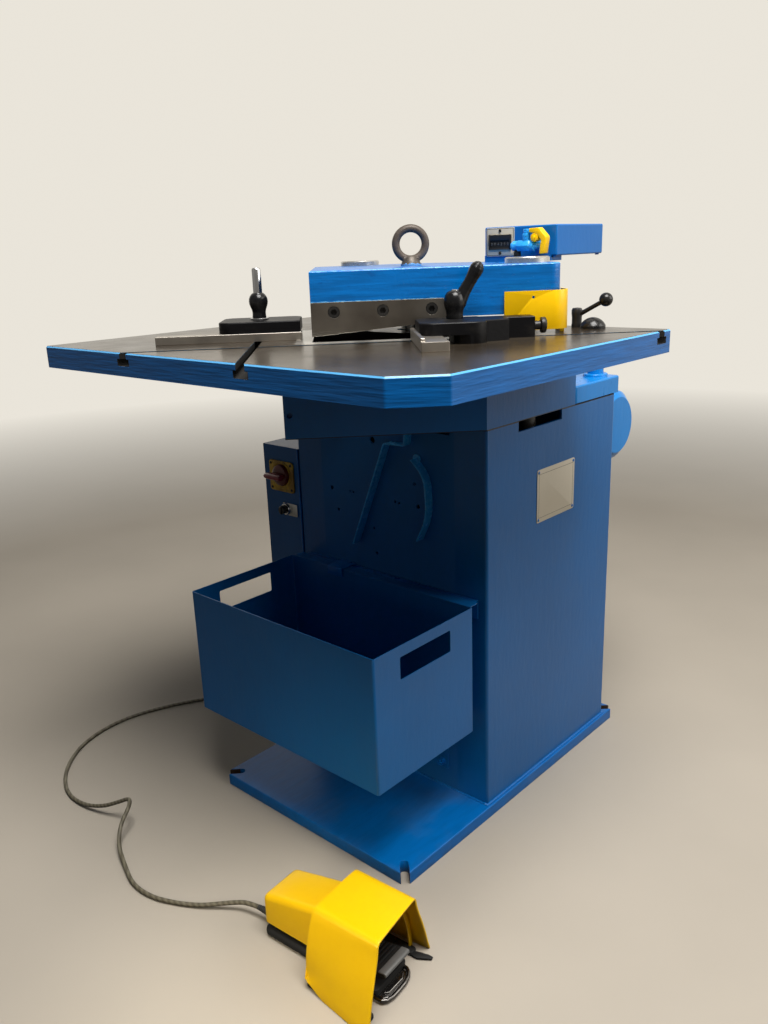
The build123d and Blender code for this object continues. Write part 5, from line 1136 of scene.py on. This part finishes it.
def makeFootSwitch(look):
    makeHood(look)
    makeHousing(look)
    outside = [(-y, z) for y, z in look["ribArch"]] + look["ribArch"][::-1]
    inside = [(y * 0.9, z * 0.925) for y, z in outside]
    rib = alongX(outside + inside[::-1], look["archRib"], look["archRib"] + 3)
    makeFootPiece("hoodArchRib", eased(rib, 0.6), "machine", yellowEnamel)
    sole = [
        eased(slab(rounded((-5, 122, -43, 43), 13), 0.3, 19), 8, 4, 60),
        eased(block((24, -27, 12), (122, 27, 33)), 2),
        eased(slab(rounded((100, 233, -40, 40), 6), 0.3, 16), 2),
        eased(slab(rounded((128, 190, -72, 72), 6), 0.3, 9), 1.5),
        eased(slab(look["ear"], 2, 5), 0.8),
    ]
    sole += [eased(slab(rounded(rail, 5), 0.3, 7.5), 1.5) for rail in ((126, 250, -82, -66), (126, 228, 60, 76))]
    sole += [eased(block((146, y, 8), (158, y + 6, 33)), 1.5) for y in (-39, 33)]
    makeFootPiece("footSole", joined(*sole), "machine", castBlack, ["foot_base"])
    bow = rod([((x, y, 7), 3.1) for x, y in look["latch"]], 14)
    flap = eased(slab(look["flap"], 3, 6), 1)
    ridge = rod([((x, y, 7), radius) for x, y, radius in look["ridge"]], 10)
    makeFootPiece("toeLatch", joined(bow, flap, ridge), "machine", darkSteel, (), 60)


def makeTreadle(look):
    half = look["half"]
    parts = [eased(alongY(look["side"], -half, half), 1.2)]
    for step in range(look["ribs"]):
        x = 160 + step * look["pitch"]
        top = 33.2 + (x - 150) * look["slope"]
        parts.append(eased(block((x, 3 - half, top - 2.5), (x + 3.2, half - 3, top + 1.6)), 0.6))
    makeFootPiece("treadlePlate", joined(*parts), "treadle", castBlack, ["foot_treadle"])
    outline = [(x, z + look["frontRise"]) for x, z in look["frontBar"]]
    bar = eased(alongY(outline, -half, half), 0.9, 3)
    makeFootPiece("treadleFrontBar", bar, "treadle", greyRubber)


makeFootSwitch(footLook)
makeTreadle(treadleLook)
print("foot switch made")

# tapered strain reliefs where the cable leaves the cabinet and enters the foot switch
reliefLook = {"length": 24, "root": 6.8, "tip": 4.6, "step": 2.0, "groove": 0.7}


def makeRelief(name, path, look):
    # stations along the cable, a groove at every second ring
    stations = []
    done = 0.0
    for start, end in zip(path, path[1:]):
        run = (end - start).length
        while done <= run and len(stations) * look["step"] <= look["length"]:
            share = len(stations) * look["step"] / look["length"]
            radius = look["root"] + (look["tip"] - look["root"]) * share
            groove = look["groove"] if len(stations) % 2 else 0.0
            stations.append((start.lerp(end, done / run), radius - groove * (1 - share * 0.4)))
            done += look["step"]
        done -= run
        if len(stations) * look["step"] > look["length"]:
            break
    makePiece(name, rod(stations, 20), "machine", blackPlastic)


makeRelief("cabinetCableRelief", cableMiddle, reliefLook)
makeRelief("footCableRelief", cableMiddle[::-1], reliefLook)
print("strain reliefs made")

# weld beads: column on the base plate, cabinet on the column
beadLook = {
    "step": 5.0,
    "swell": 0.5,
    "footRadius": 2.6,
    "foot": [
        (-250.6, -0.6, 25.4), (250.6, -0.6, 25.4), (250.6, 468.6, 25.4), (-250.6, 468.6, 25.4), (-250.6, -0.6, 25.4),
    ],
    "cabinetRadius": 1.8,
    "cabinet": [(-250.6, -1.4, 331), (-250.6, -1.4, 694)],
}


def makeBead(name, corners, radius, look):
    stations = []
    points = [Vector(corner) for corner in corners]
    for start, end in zip(points, points[1:]):
        steps = max(2, round((end - start).length / look["step"]))
        for step in range(steps):
            swell = look["swell"] if len(stations) % 2 else 0.0
            stations.append((start.lerp(end, step / steps), radius + swell))
    stations.append((points[-1], radius))
    makePiece(name, rod(stations, 8), "machine", blueEnamel, (), 60)


makeBead("columnWeld", beadLook["foot"], beadLook["footRadius"], beadLook)
makeBead("cabinetWeld", beadLook["cabinet"], beadLook["cabinetRadius"], beadLook)

# hanger behind the bin: a rail on the column and one hook bent over the rim
hangerLook = {"rail": (-230, 230), "hook": (-130, -88), "rim": 466, "rear": -41.5, "drop": 16, "thick": 3}


def makeHanger(look):
    rim = look["rim"]
    thick = look["thick"]
    inside = look["rear"]
    drop = rim - look["drop"]
    angle = [(0, rim - 2), (-32, rim - 2), (-32, rim - 5), (-thick, rim - 5), (-thick, rim - 40), (0, rim - 40)]
    hook = [(0, rim - thick), (-thick, rim - thick), (-thick, rim), (inside, rim), (inside, drop)]
    hook += [(inside - thick, drop), (inside - thick, rim + thick), (0, rim + thick)]
    bars = [eased(alongX(angle, *look["rail"]), 0.7), eased(alongX(hook, *look["hook"]), 0.7)]
    makePiece("binHanger", joined(*bars), "machine", blueEnamel, ["bin_rail"])


makeHanger(hangerLook)

# door hinges and latch on the cabinet's left side
doorLook = {
    "hinges": (385, 640),
    "latch": (-364.4, 30, 512),
    "lock": [(0, 0), (11, 0), (11, 1.2), (10, 1.9), (4.5, 1.9), (4.5, 1.2), (0, 1.2)],
}


def makeDoorFittings(look):
    leftward = (-1, 0, 0)
    parts = []
    for height in look["hinges"]:
        parts.append(eased(block((-366.2, 196, height - 18), (-364.2, 226, height + 18)), 0.5))
        for y in (203, 219):
            for z in (height + 10, height - 10):
                parts.append(aimed(screwHead(3, 1.2), (-366.0, y, z), leftward))
    makePiece("doorHinges", joined(*parts), "door", blueEnamel)
    makePiece("doorLatch", aimed(spun(look["lock"], 40), look["latch"], leftward), "door", chrome)


makeDoorFittings(doorLook)
print("welds and door fittings made")

# plain studio: pale floor that fades into a pale surround, soft lamps; lengths in metres
studio = {
    "floorSize": 40,
    "floorColour": (0.46, 0.41, 0.34),
    "bounce": 0.2,
    "backdrop": (0.82, 0.78, 0.7),
    "fadeFrom": 2.2,
    "fadeTo": 5.5,
    "skyColour": (0.86, 0.92, 1.0),
    "skyStrength": 0.05,
    # what gloss sees of the room falls to this share towards the front: by place on the floor, by direction above it
    "darkest": 0.25,
    "darkFloor": (-0.6, 0.4),
    "darkSky": (-0.3, 0.25),
    "lamps": [
        # name, spot, aimed at, size, power, colour, spread in degrees
        ("ceilingLamp", (1.0, -0.5, 3.3), (0, 0, 0.9), 1.6, 132, (1, 0.98, 0.95), 180),
        ("wallGlow", (3.0, 1.6, 2.4), (0, 0.2, 0.6), 2.2, 54, (1, 0.97, 0.93), 180),
        ("frontFill", (-1.6, -3.2, 1.9), (0, 0, 0.6), 2.6, 1.2, (1, 0.95, 0.88), 180),
        ("footGlow", (0.3, -1.05, 0.4), (0.24, -0.5, 0.05), 0.4, 0.45, (1, 0.9, 0.7), 70),
    ],
}


def floorFinish(look):
    # concrete grey near the object; seen by the camera or in gloss, it turns into the surround far away
    colour = look["floorColour"]
    concrete = Finish("paleFloor", colour, 0.75)
    haze = concrete.cloud(1.6, 5.0).fit(0.35, 0.65)
    away = concrete.node("ShaderNodeVectorMath", {"operation": "LENGTH"}, {0: concrete.place}, "Value")
    gloss = concrete.ray("Glossy")
    seen = concrete.ray("Camera").larger(gloss)
    lit = concrete.blend(haze, tinted(colour, 0.96), tinted(colour, 1.04))
    lit = concrete.blend(seen, tinted(colour, look["bounce"]), lit)
    shade = 1 - gloss * (1 - concrete.axis("Y").fit(*look["darkFloor"], look["darkest"]))
    concrete.put("Base Color", concrete.blend(shade, (0, 0, 0), lit))
    glow = concrete.node("ShaderNodeEmission", values={"Color": (*look["backdrop"], 1), "Strength": shade})
    share = away.fit(look["fadeFrom"], look["fadeTo"]) * seen
    concrete.mix(share, concrete.shader, glow, "Material Output")
    return concrete


def makeSky(look):
    # the surround where the camera or gloss looks, for other rays a dim sky
    world = bpy.data.worlds.new("studioSky")
    bpy.context.scene.world = world
    world.use_nodes = True
    sky = Nodes(world.node_tree)
    dim = sky.tree.nodes["Background"]
    sky.feed(dim.inputs["Color"], (*look["skyColour"], 1))
    sky.feed(dim.inputs["Strength"], look["skyStrength"])
    direction = sky.node("ShaderNodeTexCoord", result="Generated")
    ahead = sky.node("ShaderNodeSeparateXYZ", values={0: direction}, result="Y")
    camera = sky.ray("Camera")
    shade = ahead.fit(*look["darkSky"], look["darkest"]).larger(camera)
    surround = sky.node("ShaderNodeBackground", values={"Color": (*look["backdrop"], 1), "Strength": shade})
    sky.mix(camera.larger(sky.ray("Glossy")), dim, surround, "World Output")


def buildStudio(look):
    shape = bmesh.new()
    bmesh.ops.create_grid(shape, x_segments=1, y_segments=1, size=look["floorSize"])
    mesh = bpy.data.meshes.new("studioFloor")
    shape.to_mesh(mesh)
    shape.free()
    mesh.materials.append(floorFinish(look).material)
    placed("studioFloor", mesh)
    makeSky(look)
    for name, spot, aim, size, power, colour, spread in look["lamps"]:
        light = bpy.data.lights.new(name, "AREA")
        light.shape = "SQUARE"
        light.size = size
        light.energy = power
        light.color = colour
        light.spread = math.radians(spread)
        lamp = placed(name, light)
        lamp.location = spot
        lamp.visible_camera = False
        lamp.rotation_euler = (Vector(aim) - Vector(spot)).to_track_quat("-Z", "Y").to_euler()


buildStudio(studio)
bpy.context.scene.view_settings.view_transform = "Standard"
print("studio built")

bpy.context.view_layer.update()
